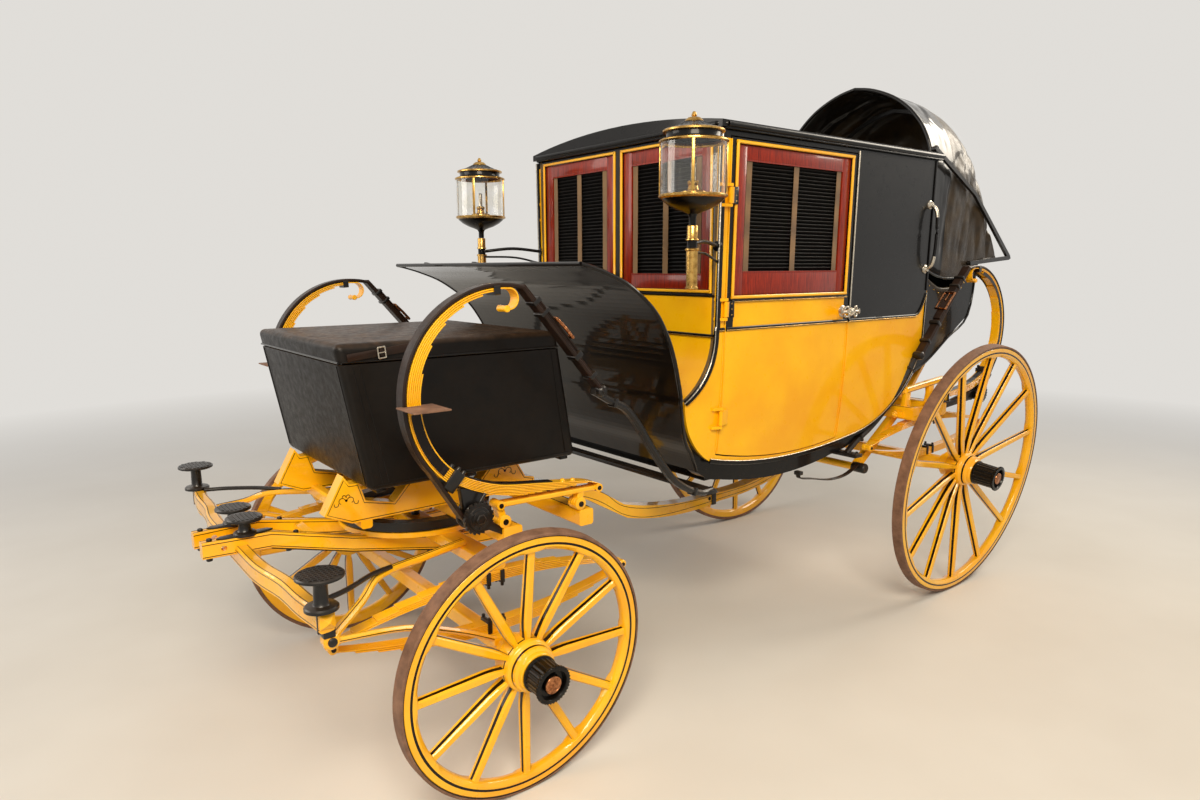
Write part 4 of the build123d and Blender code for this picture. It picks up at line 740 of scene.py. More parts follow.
def build_tail_ends(side):
    """Link under each front tail with the two ribbed knuckles below it; the saddle under each rear tail."""
    place = "left" if side > 0 else "right"
    y = side * SPRING_Y
    knuckles = Piece(f"tail_knuckles_{place}", YELLOW, LINING_AND_SHADE, IRON)
    eyes = [from_c("front", y, *eye) for eye in LINK_EYES]
    flat(knuckles, eyes, 16, SPRING_WIDE - 6, 0, 3)
    for eye in eyes:
        pin(knuckles, eye - LATERAL * 26 * MM, LATERAL, 15, 52)
        pin(knuckles, eye - LATERAL * 28 * MM, LATERAL, 8, 56, 1)
    for hung, low in KNUCKLES:
        top, bottom = from_c("front", y, *hung), from_c("front", y, *low)
        barrel(knuckles, bottom, 22, 50)
        pin(knuckles, bottom - LATERAL * 27 * MM, LATERAL, 10, 54, 1)
        sweep(knuckles, oblong(26, 36, 4), frames_along([top, bottom], LATERAL))
    rest = from_c("rear", y, *(SADDLE[0], 0))
    block(knuckles, Vector((rest.x, rest.y, (SADDLE[1] + 17) * MM)), (58, SPRING_WIDE, 36), 0, 4)
    block(knuckles, Vector((rest.x, rest.y, (SADDLE[1] + 4) * MM)), (86, SPRING_WIDE + 14, 8), 2, 2)
    for ahead in (-20, 20):
        block(knuckles, Vector((rest.x + ahead * MM, rest.y, 1022 * MM)), (12, SPRING_WIDE + 10, 7), 2, 2)
        for out in (-1, 1):
            rod(knuckles, [Vector((rest.x + ahead * MM, rest.y + out * 27 * MM,
                                   z * MM)) for z in (980, 1024)], 4.5, 2, 10)
    knuckles.finish("root", ())


def build_brace(which, side):
    """Leather brace from its drum over the C, with keepers, a big buckle and the knob at the body's iron."""
    _, _, radius, facing_way = C_SPRINGS[which]
    y = side * SPRING_Y
    brace = Piece(f"brace_{which}_{'left' if side > 0 else 'right'}", HARNESS, IRON, COPPER)
    over = c_arc(which, y, radius + 7, -40, BRACE_LEAVES, 44)
    end = spot(BRACE_END[which][0], y, BRACE_END[which][1])
    drum = spot(DRUMS[which][0] + facing_way * (DRUM_R - 4), y, DRUMS[which][1])
    start = over[-1]
    run = [start.lerp(end, share) for share in (0.3, 0.65, 1.0)]
    flat(brace, [drum, drum.lerp(over[0], 0.6)] + over + run, 13, 50, 0, 4)
    way = (end - start).normalized()
    outward = Vector((-way.z, 0, way.x)) * (1 if facing_way < 0 else -1)
    lift = outward * 9 * MM
    flat(brace, [over[-9] + outward * 2 * MM, start + lift * 0.8, start.lerp(end, 0.2) + lift,
                 start.lerp(end, 0.52) + lift], 9, 42, 0, 2.5)
    flat(brace, [start.lerp(end, 0.16) + lift * 2, start.lerp(end, 0.62) + lift * 2.1], 7, 40, 0, 2)
    flat(brace, [start.lerp(end, 0.5) + lift, end + lift * 0.8], 9, 42, 0, 2.5)
    turn = facing(Vector(), way, LATERAL)
    for share, long, high in ((0.14, 16, 34), (0.24, 14, 40), (0.66, 20, 36), (0.86, 16, 32)):
        block(brace, start.lerp(end, share) + lift * 0.8, (high, 52, long), 1, 4, turn)
    low, high = start.lerp(end, 0.33) + lift * 2.6, start.lerp(end, 0.52) + lift * 3.2
    ring = [low - LATERAL * 27 * MM, low + LATERAL * 27 * MM, high + LATERAL * 27 * MM,
            high - LATERAL * 27 * MM]
    for a, b in zip(ring, ring[1:] + ring[:1]):
        rod(brace, [a, a.lerp(b, 0.5) + outward * 1.5 * MM, b], 6, 2, 12)
        lathe(brace, [(0, -6), (4, -5), (6, 0), (4, 5), (0, 6)], facing(a, LATERAL), 14, 2)
    rod(brace, [low.lerp(high, 0.5), low - lift * 0.2 + way * 2 * MM], 4.5, 2, 10)
    lathe(brace, [(0, -29), (12, -28), (19, -22), (22, -10), (22, 10), (19, 22), (12, 28), (0, 29)],
          facing(end + way * 4 * MM, LATERAL), 28, 1)
    lathe(brace, [(0, -33), (7, -32), (9, -28), (9, 28), (7, 32), (0, 33)],
          facing(end + way * 4 * MM, LATERAL), 18, 1)
    brace.finish("root", [f"{which}_braces"])


FRONT_BRACKET = ((60, 996), (140, 1008), (124, 905), (92, 880), (-10, 826), (-10, 848), (52, 900))
REAR_BRACKET = ((-430, 1066), (-350, 1052), (-345, 1010), (-36, 962), (-36, 938), (-385, 962), (-420, 985))


def build_jacks():
    """Ratchet drum at the foot of each brace: its drum, toothed wheel, pawl, square end and bracket."""
    jacks = Piece("ratchet_drums", IRON)
    for which, bracket in (("front", [(x + WHEELBASE, z) for x, z in FRONT_BRACKET]), ("rear", REAR_BRACKET)):
        x, z = DRUMS[which]
        facing_way = C_SPRINGS[which][3]
        for _, side in SIDES:
            out = side * LATERAL
            centre = spot(x, side * (SPRING_Y - 30), z)
            place = facing(centre, out)
            lathe(jacks, [(0, 0), (44, 0), (47, 3), (47, 8), (44, 11), (38, 12), (38, 46), (44, 48), (47, 51),
                          (47, 56), (44, 59), (38, 60), (38, 71), (36, 75), (27, 76), (26, 80), (20, 81),
                          (0, 81)], place, 40)
            teeth = []
            for tooth in range(20):
                turn = math.tau * tooth / 20
                teeth += [(54 * math.cos(turn), 54 * math.sin(turn)),
                          (47 * math.cos(turn + 0.06), 47 * math.sin(turn + 0.06))]
            plate(jacks, teeth, 11, facing(centre + out * 66 * MM, out))
            lathe(jacks, [(0, 80), (17, 80), (17, 86), (14, 88), (0, 88)], place, 6)
            for angle in (30, 150, 270):
                way = Vector((math.cos(math.radians(angle)), 0, math.sin(math.radians(angle))))
                pin(jacks, centre + way * 31 * MM + out * 74 * MM, out, 4.5, 6, 0, 2)
            flat(jacks, [centre + out * 66 * MM + mm(-facing_way * 26, 0, 76),
                         centre + out * 66 * MM + mm(-facing_way * 8, 0, 52)], 10, 10, 0, 2)
            plate(jacks, bracket, 28, upright(side * SPRING_Y), 0, 3)
    jacks.finish("root", ["brace_jacks"])


for _, side in SIDES:
    for which in C_SPRINGS:
        build_c_spring(which, side)
        build_brace(which, side)
    build_tail_ends(side)
build_jacks()


# Trunk and its lid
TRUNK_HALF = 412
TRUNK_LOW = ((WHEELBASE + 336, 978), (WHEELBASE - 472, 978))
TRUNK_TOP = ((WHEELBASE + 425, 1453), (WHEELBASE - 392, 1453))
LID_Z = 1393


def trunk_corner(front, height, inset=0.0):
    """Place of the trunk's front or rear wall at a height, in millimetres from the rear axle."""
    end = 0 if front else 1
    (x1, z1), (x2, z2) = TRUNK_LOW[end], TRUNK_TOP[end]
    return x1 + (x2 - x1) * (height - z1) / (z2 - z1) + (-inset if front else inset)


def trunk_box(piece, low, high, soft, thin=14, open_top=True):
    """Hide-covered box between two heights, with soft corners."""
    local = bmesh.new()
    rings = []
    for height in (low, high):
        front, back = trunk_corner(True, height), trunk_corner(False, height)
        rings.append([local.verts.new(spot(x, y, height)) for x, y in
                      ((front, TRUNK_HALF), (back, TRUNK_HALF), (back, -TRUNK_HALF), (front, -TRUNK_HALF))])
    bottom, top = rings
    for n in range(4):
        local.faces.new((bottom[n], bottom[n - 1], top[n - 1], top[n]))
    closed = top if not open_top else bottom
    local.faces.new(closed)
    edges = [e for e in local.edges if len(e.link_faces) == 2]
    bmesh.ops.recalc_face_normals(local, faces=local.faces)
    bmesh.ops.bevel(local, geom=edges, offset=soft * MM, offset_type="OFFSET", segments=6, profile=0.5,
                    affect="EDGES", material=-1)
    bmesh.ops.solidify(local, geom=local.faces[:], thickness=thin * MM)
    piece.add(local)


def build_trunk():
    """Trunk body with welted corners, a strap and buckle each side, and battens below."""
    trunk = Piece("trunk_hide", HIDE, HARNESS, SILVER, PATENT)
    trunk_box(trunk, 978, LID_Z - 5, 22)
    for side in (1, -1):
        y = side * (TRUNK_HALF + 1)
        for front, inset in ((True, 40), (True, 62), (False, 40)):
            points = [spot(trunk_corner(front, z, inset + (1380 - z) * 0.02), y,
                           z) for z in (1002, 1200, 1380)]
            rod(trunk, points, 1.3, 3, 6)
        ends = [spot(trunk_corner(True, 990, 30), y, 996), spot(trunk_corner(False, 990, 30), y, 996)]
        rod(trunk, ends, 1.3, 3, 6)
    for y in (TRUNK_HALF - 26, 26 - TRUNK_HALF):
        points = [spot(trunk_corner(True, z) + 1, y, z) for z in (1000, 1200, 1384)]
        rod(trunk, points, 1.6, 3, 6)
    for x in (WHEELBASE - 430, WHEELBASE - 40, WHEELBASE + 290):
        block(trunk, spot(x, 0, 974), (34, 2 * TRUNK_HALF - 40, 16), 3, 2)
    trunk.finish("root", ["trunk"], 50)

    lid = Piece("trunk_lid_hide", HIDE, HARNESS, SILVER, PATENT)
    trunk_box(lid, LID_Z, 1453, 24, 12, False)
    for y in (TRUNK_HALF, -TRUNK_HALF):
        ends = [spot(trunk_corner(True, LID_Z, 8), y, LID_Z + 3),
                spot(trunk_corner(False, LID_Z, 8), y, LID_Z + 3)]
        rod(lid, ends, 4, 3, 8)
    rod(lid, [spot(trunk_corner(True, LID_Z) - 1, y, LID_Z + 3) for y in (TRUNK_HALF - 6, 6 - TRUNK_HALF)], 4,
        3, 8)
    for side in (1, -1):
        y = side * (TRUNK_HALF + 3)
        ends = [spot(WHEELBASE + 388, y, 1409), spot(WHEELBASE + 180, y, 1432)]
        sweep(lid, oblong(3.5, 24, 1), frames_along(ends), 1)
        over = mm(0, side * 4, 0)
        sweep(lid, oblong(3.5, 26, 1), frames_along([ends[0].lerp(ends[1], 0.5) + over, ends[1] + over]), 1)
        middle = ends[0].lerp(ends[1], 0.52) + mm(0, side * 8, 0)
        along = (ends[1] - ends[0]).normalized()
        high = along.cross(LATERAL)
        corners = ((-12, -17), (12, -17), (12, 17), (-12, 17))
        box_points = [middle + along * a * MM + high * b * MM for a, b in corners]
        for a, b in zip(box_points, box_points[1:] + box_points[:1]):
            rod(lid, [a, b], 2.6, 2, 8)
        rod(lid, [middle - along * 12 * MM, middle + along * 13 * MM], 2, 2, 8)
    lid.finish("trunk_lid", ["trunk_lid"], 50)


build_trunk()


# Patent-leather dash, in one S from the sill to above the trunk
DASH = ((1700, 868), (1752, 945), (1815, 1025), (1868, 1150), (1885, 1215), (1938, 1362), (1992, 1463),
        (2056, 1539), (2168, 1618), (2272, 1661), (2346, 1683), (2382, 1691))
DASH_HALVES = (556, 580, 604, 640, 652, 668, 676, 683, 692, 698, 702, 704)


def build_dash():
    """Curved sheet of patent leather over an iron frame, with a rolled bead round it."""
    dash = Piece("dash_leather", PATENT, IRON)
    spine = smooth_path([spot(x, 0, z) for x, z in DASH], 5)
    widths = smooth_path([Vector((half, 0, 0)) for half in DASH_HALVES], 5)
    frames = frames_along(spine, LATERAL)
    sizes = [frame @ Matrix.Diagonal((1, 2 * half.x / 1000, 1, 1)) for frame, half in zip(frames, widths)]
    section = [(4, -500), (5, -470), (5, -250), (5, 0), (5, 250), (5, 470), (4, 500), (-4, 500), (-5, 470),
               (-5, 250), (-5, 0), (-5, -250), (-5, -470), (-4, -500)]
    sweep(dash, section, sizes)
    for side in (1, -1):
        edge = [frame @ mm(0, side * half.x, 0) for frame, half in zip(frames, widths)]
        rod(dash, edge, 8, 0, 10)
    top = frames[-1]
    rod(dash, [top @ mm(0, y, 0) for y in (-704, -350, 0, 350, 704)], 8, 0, 10)
    for y in (-420, 0, 420):
        flat(dash, [frame @ mm(-8, y, 0) for frame in frames[4::3]], 8, 26, 1, 2)
    dash.finish("root", ["dash"])


build_dash()


# Cabin paint: yellow panels, black upper part, cloth inside; the paint follows places on the body
ROOF_HALF = 622
BELT_HALF = 606
BELT_Z = 1436
CANT_Z = 2196
WALL_SLOPE = (ROOF_HALF - BELT_HALF) / (CANT_Z - BELT_Z)
WALL_BOW = 1.173e-4
WALL_THICK = 14
DOOR_BACK = 800
DOOR_FRONT = 1604
REAR_RISE = 0.0126
REAR_RISE_X = 240


def wall_y(z):
    """How far out the cabin's side stands at a height, in millimetres."""
    if z > BELT_Z:
        return BELT_HALF + (z - BELT_Z) * WALL_SLOPE
    return BELT_HALF - WALL_BOW * (BELT_Z - z) ** 2


def measure(paint, axis, start=0.0):
    """How far places lie along an axis from a start in metres, in millimetres."""
    part = paint.node("SeparateXYZ", paint.place, out=axis)
    return paint.node("Math.MULTIPLY", paint.node("Math.SUBTRACT", part, start), 1 / MM)


def both(paint, first, second):
    """1 where both patterns are 1."""
    return paint.node("Math.MULTIPLY", first, second)


def between(paint, value, low, high):
    """1 where a value lies between two limits."""
    return both(paint, paint.node("Math.GREATER_THAN", value, low), paint.node("Math.LESS_THAN", value, high))


def cabin_paint(name, rule):
    """Yellow varnish where the rule says, black japan elsewhere, drab cloth on the inner faces."""
    paint = Finish(name, Coat_Roughness=0.07, Coat_IOR=1.3, Specular_IOR_Level=0.15)
    yellow, inner = rule(paint)
    black_tone = paint.tones("#040303", "#080605", 220, 4.0)
    yellow_tone = paint.tones("#F2A904", "#FDC00E", 220, 4.0)
    tone = paint.dusty(paint.node("Mix", yellow, black_tone, yellow_tone, data_type="RGBA"), "#8A7350", 0.12)
    smear = paint.lumps(35, 6.0, 0.65, (0.3, 0.75, 0.24, 0.42))
    lining = paint.tones("#5E4B33", "#7A6443", 8)
    paint.set(Base_Color=paint.node("Mix", inner, tone, lining, data_type="RGBA"),
              Roughness=paint.node("Math.MAXIMUM", smear, paint.node("Math.MULTIPLY", inner, 0.9)),
              Coat_Weight=paint.node("Math.SUBTRACT", 0.7, paint.node("Math.MULTIPLY", inner, 0.7)))
    paint.relief(paint.lumps(9, 2.0), 0.12, 0.35, 1.4)
    return paint.material


def side_rule(paint):
    """Yellow under the belt, which sweeps up at the rear, on the front pillar and the door's small panel."""
    x = measure(paint, 0, REAR_AXLE_X)
    y = paint.node("Math.ABSOLUTE", measure(paint, 1))
    z = measure(paint, 2)
    rise = paint.node("Math.SUBTRACT", z, BELT_Z)
    slope = paint.node("Math.MULTIPLY", paint.node("Math.MAXIMUM", rise, 0.0), WALL_SLOPE)
    under = paint.node("Math.MINIMUM", rise, 0.0)
    bow = paint.node("Math.MULTIPLY", paint.node("Math.MULTIPLY", under, under), WALL_BOW)
    skin = paint.node("Math.SUBTRACT", paint.node("Math.ADD", slope, BELT_HALF - WALL_THICK), bow)
    back = paint.node("Math.MAXIMUM", paint.node("Math.SUBTRACT", REAR_RISE_X, x), 0.0)
    sweep_up = paint.node("Math.MULTIPLY", paint.node("Math.MULTIPLY", back, back), REAR_RISE)
    lower = paint.node("Math.GREATER_THAN", paint.node("Math.ADD", sweep_up, BELT_Z), z)
    pillar = both(paint, paint.node("Math.GREATER_THAN", x, DOOR_FRONT - 6),
                  paint.node("Math.LESS_THAN", z, 2160))
    panel = both(paint, between(paint, x, 832, 1558), between(paint, z, BELT_Z, 1543))
    yellow = paint.node("Math.MAXIMUM", paint.node("Math.MAXIMUM", lower, pillar), panel)
    return yellow, paint.node("Math.LESS_THAN", y, skin)


def front_rule(paint):
    """Yellow under the front windows, and cloth on what faces back into the cabin."""
    facing_x = paint.node("SeparateXYZ", paint.node("NewGeometry", out="True Normal"), out=0)
    return paint.node("Math.LESS_THAN", measure(paint, 2), 1572), paint.node("Math.LESS_THAN", facing_x, -0.3)


SIDE_PAINT = cabin_paint("cabin_side_varnish", side_rule)
FRONT_PAINT = cabin_paint("cabin_front_varnish", front_rule)


def on_wall(side, x, z, out=0.0):
    """A point on the cabin's side, out millimetres from it."""
    return spot(x, side * (wall_y(z) + out), z)


def wall_strip(piece, side, places, high, proud, material, out=0.0):
    """Flat moulding along the cabin's side: high across its run, proud of the wall."""
    path = [on_wall(side, x, z, out) for x, z in places]
    sweep(piece, oblong(high, proud, min(high, proud) * 0.3), frames_along(path, side * LATERAL), material)


def along(start, end, steps=12):
    """Places between two (x, z) places."""
    return [(start[0] + (end[0] - start[0]) * n / steps, start[1] + (end[1] - start[1]) * n / steps)
            for n in range(steps + 1)]


def through(a, b, c, steps=14):
    """Places on the curve that leaves a, passes b halfway and reaches c."""
    made = []
    for n in range(steps + 1):
        t = n / steps
        bend = [2 * b[i] - (a[i] + c[i]) / 2 for i in (0, 1)]
        made.append(tuple((1 - t) ** 2 * a[i] + 2 * t * (1 - t) * bend[i] + t * t * c[i] for i in (0, 1)))
    return made


NOSE = (1806, 1160)
TOE = (1640, 900)
KEEL = (1180, 842)
HEEL = (664, 878)
KICK = (337, 1020)
REAR_TIP = (146, 1545)
FRONT_EDGE = along((1648, 2186), (1648, 1450)) + through((1652, 1435), (1690, 1270), NOSE)
BOTTOM_EDGE = (through(TOE, KEEL, HEEL, 30) + through(HEEL, (490, 925), KICK, 12)[1:]
               + through(KICK, (232, 1128), (156, 1270), 12)[1:] + along((150, 1330), REAR_TIP, 6))


def rear_belt(x):
    """Height of the belt, which sweeps up behind x = 240."""
    return BELT_Z + max(0, REAR_RISE_X - x) ** 2 * REAR_RISE


def build_cabin_trim():
    """Belt, corner and sill mouldings on the cabin's fixed sides, each black with a fine bright line."""
    for name, side in SIDES:
        trim = Piece(f"cabin_mouldings_{name}", BLACK, SILVER, YELLOW, BRASS)
        wall_strip(trim, side, FRONT_EDGE, 26, 12, 0, 3)
        wall_strip(trim, side, [(x + 13, z) for x, z in FRONT_EDGE], 3, 5, 1, 10)
        belt = [(x, rear_belt(x)) for x in (150, 160, 172, 186, 200, 216, 235, 260, 300, 400, 520, 660, 792)]
        wall_strip(trim, side, belt, 15, 9, 0, 2)
        wall_strip(trim, side, [(x, z - 4) for x, z in belt], 2.5, 4, 3, 5.5)
        wall_strip(trim, side, along((1608, BELT_Z), (1642, BELT_Z), 3), 15, 9, 0, 2)
        wall_strip(trim, side, along((1608, BELT_Z - 4), (1642, BELT_Z - 4), 3), 2.5, 4, 3, 5.5)
        wall_strip(trim, side, BOTTOM_EDGE, 17, 11, 0, 1)
        wall_strip(trim, side,
                   [(x + (4 if x < 330 else 0), z + (10 if x > 330 else 4)) for x, z in BOTTOM_EDGE], 3, 5, 1,
                   5)
        wall_strip(trim, side, along((788, 1446), (788, 2180)), 8, 8, 1, 3)
        wall_strip(trim, side, along((791, 1424), (791, 892)), 4, 4, 2, 1)
        wall_strip(trim, side, along((1612, 1424), (1612, 935)), 4, 4, 2, 1)
        wall_strip(trim, side, along((152, 1560), (152, 2186)), 12, 8, 0, 2)
        trim.finish("root", ())

        door = Piece(f"door_mouldings_{name}", BLACK, SILVER, YELLOW, BRASS)
        left, right, low, high = 830, 1570, 1561, 2152
        for start, end in (((left, low), (left, high)), ((left - 6, high), (right + 6, high)),
                           ((right, high), (right, low)), ((right + 6, low), (left - 6, low))):
            wall_strip(door, side, along(start, end, 4), 13, 10, 2, 3)
        wall_strip(door, side, along((left - 8, 1548), (right + 6, 1548), 4), 9, 9, 0, 3)
        wall_strip(door, side, along((left - 8, 1544), (right + 6, 1544), 4), 2.5, 4, 3, 7)
        wall_strip(door, side, along((DOOR_BACK + 4, BELT_Z), (DOOR_FRONT - 6, BELT_Z), 4), 15, 9, 0, 2)
        wall_strip(door, side, along((DOOR_BACK + 4, BELT_Z - 4), (DOOR_FRONT - 6, BELT_Z - 4), 4), 2.5, 4, 3,
                   5.5)
        for x, low_z in ((DOOR_BACK + 5, 896), (DOOR_FRONT - 5, 930)):
            wall_strip(door, side, along((x, low_z), (x, 1424)), 3.5, 3.5, 2, 1)
        for z in (1950, 1515):
            block(door, on_wall(side, DOOR_FRONT - 24, z, 6), (30, 12, 66), 0, 2)
            for step in (-22, 0, 22):
                pin(door, on_wall(side, DOOR_FRONT - 24, z + step, 11), side * LATERAL, 3, 3, 3, 1.5)
        door.finish(f"door_{name}", ())
        build_handle(name, side)


def build_handle(name, side):
    """Silver door handle: a boss and neck, and a cast grip of opposed scrolls with leaf tips."""
    handle = Piece(f"door_handle_{name}", SILVER)
    out = side * LATERAL
    centre = on_wall(side, DOOR_BACK + 40, 1480)
    lathe(handle, [(0, 0), (27, 0), (27, 3), (23, 6), (15, 8), (11, 14), (10, 30), (14, 36), (16, 42),
                   (0, 44)], facing(centre, out), 28)
    hub = centre + out * 44 * MM

    def curl(start, radius, turns, lean, thick):
        """A tapered scroll from a start, turning by a number of turns."""
        points = []
        for n in range(25):
            t = n / 24
            angle = lean + turns * math.tau * t
            reach = radius * (1 - 0.78 * t)
            points.append(start + Vector((reach * math.cos(angle), 0, reach * math.sin(angle))) * MM
                          + out * (6 * math.sin(math.pi * t)) * MM)
        sizes = [(1 - 0.45 * n / 24, 1 - 0.45 * n / 24) for n in range(25)]
        sweep(handle, disc(thick, 10), frames_along(points, out, sizes))

    for way in (-1, 1):
        for lift in (-1, 1):
            curl(hub + mm(way * 30, 0, lift * 9), 17, 0.85 * way * lift, 0 if way > 0 else math.pi, 5)
        ball = hub + mm(way * 58, 0, 0)
        lathe(handle, [(0, -9), (6, -7), (8.5, 0), (6, 7), (0, 9)], facing(ball, Vector((way, 0, 0))), 16)
        for turn in (-0.5, 0.0, 0.5):
            tip = Vector((way * math.cos(turn), 0, math.sin(turn)))
            block(handle, ball + tip * 11 * MM, (14, 7, 6), 0, 2, facing(Vector(), out, tip))
        rod(handle, [hub, hub + mm(way * 54, 0, 0)], 6.5, 0, 12)
    for n in range(8):
        turn = math.tau * n / 8
        petal = Vector((math.cos(turn), 0, math.sin(turn)))
        lathe(handle, [(0, -6), (5, -4), (7, 0), (5, 4), (0, 6)],
              facing(hub + petal * 14 * MM + out * 3 * MM, petal), 12)
    lathe(handle, [(0, 0), (11, 0), (10, 5), (5, 9), (0, 10)], facing(hub + out * 4 * MM, out), 20)
    handle.finish(f"door_{name}", ())


# front wall's outer face, and half the width of its mouldings
FRONT_FACE = 1652
FRONT_HALF = 594


def build_front_trim():
    """Mouldings round and under the cabin's two front windows, and the cornice round the roof."""
    trim = Piece("front_mouldings", BLACK, SILVER, YELLOW, BRASS)

    def bar(y1, z1, y2, z2, high, proud, material, out=2.0):
        """A straight moulding across or up the front wall."""
        path = [spot(FRONT_FACE + out, y1 + (y2 - y1) * n / 2, z1 + (z2 - z1) * n / 2) for n in range(3)]
        sweep(trim, oblong(high, proud, min(high, proud) * 0.3), frames_along(path, FORWARD), material)

    for way in (-1, 1):
        near, far, low, high = way * 24, way * 572, 1584, 2172
        for ends in ((near, low - 6, near, high + 6), (far, low - 6, far, high + 6), (near, high, far, high),
                     (near, low, far, low)):
            bar(*ends, 12, 9, 2)
    bar(-FRONT_HALF, 1568, FRONT_HALF, 1568, 10, 9, 0)
    bar(-FRONT_HALF, 1412, FRONT_HALF, 1412, 11, 9, 0, 3)
    bar(-FRONT_HALF, 1407, FRONT_HALF, 1407, 2.5, 4, 3, 6)
    trim.finish("root", ())

    cornice = Piece("roof_cornice", BLACK, SILVER)
    half, front, back, z = ROOF_HALF + 14, 1672, 120, CANT_Z + 12
    corners = [spot(front - 30, half, z), spot(back, half, z), spot(back, -half, z),
               spot(front - 30, -half, z), spot(front, 30 - half, z), spot(front, half - 30, z)]
    ring = []
    for a, b in zip(corners, corners[1:] + corners[:1]):
        ring += [a.lerp(b, n / 10) for n in range(10)]
    ring.append(ring[0].copy())
    rod(cornice, ring, 11, 0, 12)
    rod(cornice, [p - mm(0, 0, 15) for p in ring], 4, 0, 8)
    cornice.finish("root", ())


def build_grab_handles():
    """Black grab handle with silver feet at each rear corner of the cabin."""
    for name, side in SIDES:
        grab = Piece(f"grab_handle_{name}", PATENT, SILVER)
        points = smooth_path([on_wall(side, 178, 1664, 4), on_wall(side, 176, 1690, 34),
                              on_wall(side, 174, 1760, 44), on_wall(side, 174, 1880, 44),
                              on_wall(side, 176, 1950, 34), on_wall(side, 178, 1976, 4)], 5)
        rod(grab, points, 8, 0, 12)
        for z, end in ((1664, points[:9]), (1976, points[-9:])):
            lathe(grab, [(0, 0), (22, 0), (21, 4), (14, 8), (11, 16), (0, 18)],
                  facing(on_wall(side, 178, z), side * LATERAL), 24, 1)
            rod(grab, end, 9.5, 1, 12)
        grab.finish("root", ())


# Sashes: varnished frames, slatted blinds and woven straps
SLAT_PITCH = 15


def build_sash(piece, matrix, wide, high, foot, straps):
    """Sash in a matrix whose X runs across, Y up and Z outwards, its outer face at Z = 0."""
    stile, top = 54, 54
    turn = turning(matrix)
    outward = matrix.to_3x3() @ UP
    for x in (-wide / 2 + stile / 2, wide / 2 - stile / 2):
        block(piece, matrix @ mm(x, 0, -8), (stile, high, 16), 0, 1.5, turn)
    for y, tall in ((high / 2 - top / 2, top), (-high / 2 + foot / 2, foot)):
        block(piece, matrix @ mm(0, y, -8.5), (wide - 2 * stile + 6, tall, 15.5), 0,
              1.5, turn)
    room_w, low, tall = wide - 2 * stile, -high / 2 + foot, high - foot - top
    count = int(tall / SLAT_PITCH)
    tilt = turn @ Matrix.Rotation(math.radians(52), 4, "X")
    for n in range(count + 1):
        y = low + tall * n / count
        block(piece, matrix @ mm(0, y, -13), (room_w + 8, 17, 2), 1, 0, tilt)
    # Dull black sheet behind the slats: painted shade of the cabin seen between them
    block(piece, matrix @ mm(0, low + tall / 2, -21), (room_w + 16, tall + 16, 2), 1, 0, turn)
    for x, broad in straps:
        path = [matrix @ mm(x * room_w / 2, low + tall * t, -4.5 - 0.8 * math.sin(math.pi * t))
                for t in (-0.02, 0.25, 0.5, 0.75, 1.02)]
        sweep(piece, oblong(broad, 2, 0.5), frames_along(path, outward), 2)
    for y in (low + 3, low + tall - 3):
        sweep(piece, [(3, -4), (3, 4), (-3, 4), (-3, -4)],
              frames_along([matrix @ mm(x, y, -4) for x in (-room_w / 2, room_w / 2)],
                           outward), 0)


def build_sashes():
    """The two door sashes and the pair in the front wall."""
    for name, side in SIDES:
        sash = Piece(f"door_sash_dressed_{name}", MAHOGANY, SLATS_AND_SHADE, WEBBING)
        z = (1567 + 2146) / 2
        up = Vector((0, side * WALL_SLOPE, 1)).normalized()
        across = Vector((-side, 0, 0))
        matrix = Matrix((across, up, across.cross(up))).transposed().to_4x4()
        matrix.translation = on_wall(side, 1200, z, -5)
        build_sash(sash, matrix, 726, 577, 88, ((-0.93, 30), (0.0, 32), (0.93, 30)))
        sash.finish(f"door_{name}", [f"door_sash_{name}"])
    front = Piece("front_sashes_dressed", MAHOGANY, SLATS_AND_SHADE, WEBBING)
    for way in (-1, 1):
        matrix = Matrix((LATERAL, UP, FORWARD)).transposed().to_4x4()
        matrix.translation = spot(FRONT_FACE - 5, way * 298, (1590 + 2166) / 2)
        build_sash(front, matrix, 534, 574, 56, ((-0.9, 30), (0.0, 32), (0.9, 30)))
    front.finish("root", ["front_sashes"])


build_cabin_trim()
build_front_trim()
build_grab_handles()
build_sashes()


# Carriage lamps, and the place of their centre
LAMP_X = 1920
LAMP_Y = 739


def rib_cap(local):
    """Ribs down the lamp's conical cap."""
    for v in local.verts:
        out = v.co.xy.length / MM
        if 30 < out < 98 and v.co.z / MM > 2143:
            v.co.z += (1.8 if math.sin(math.atan2(v.co.y, v.co.x) * 28) > 0 else -1.2) * MM


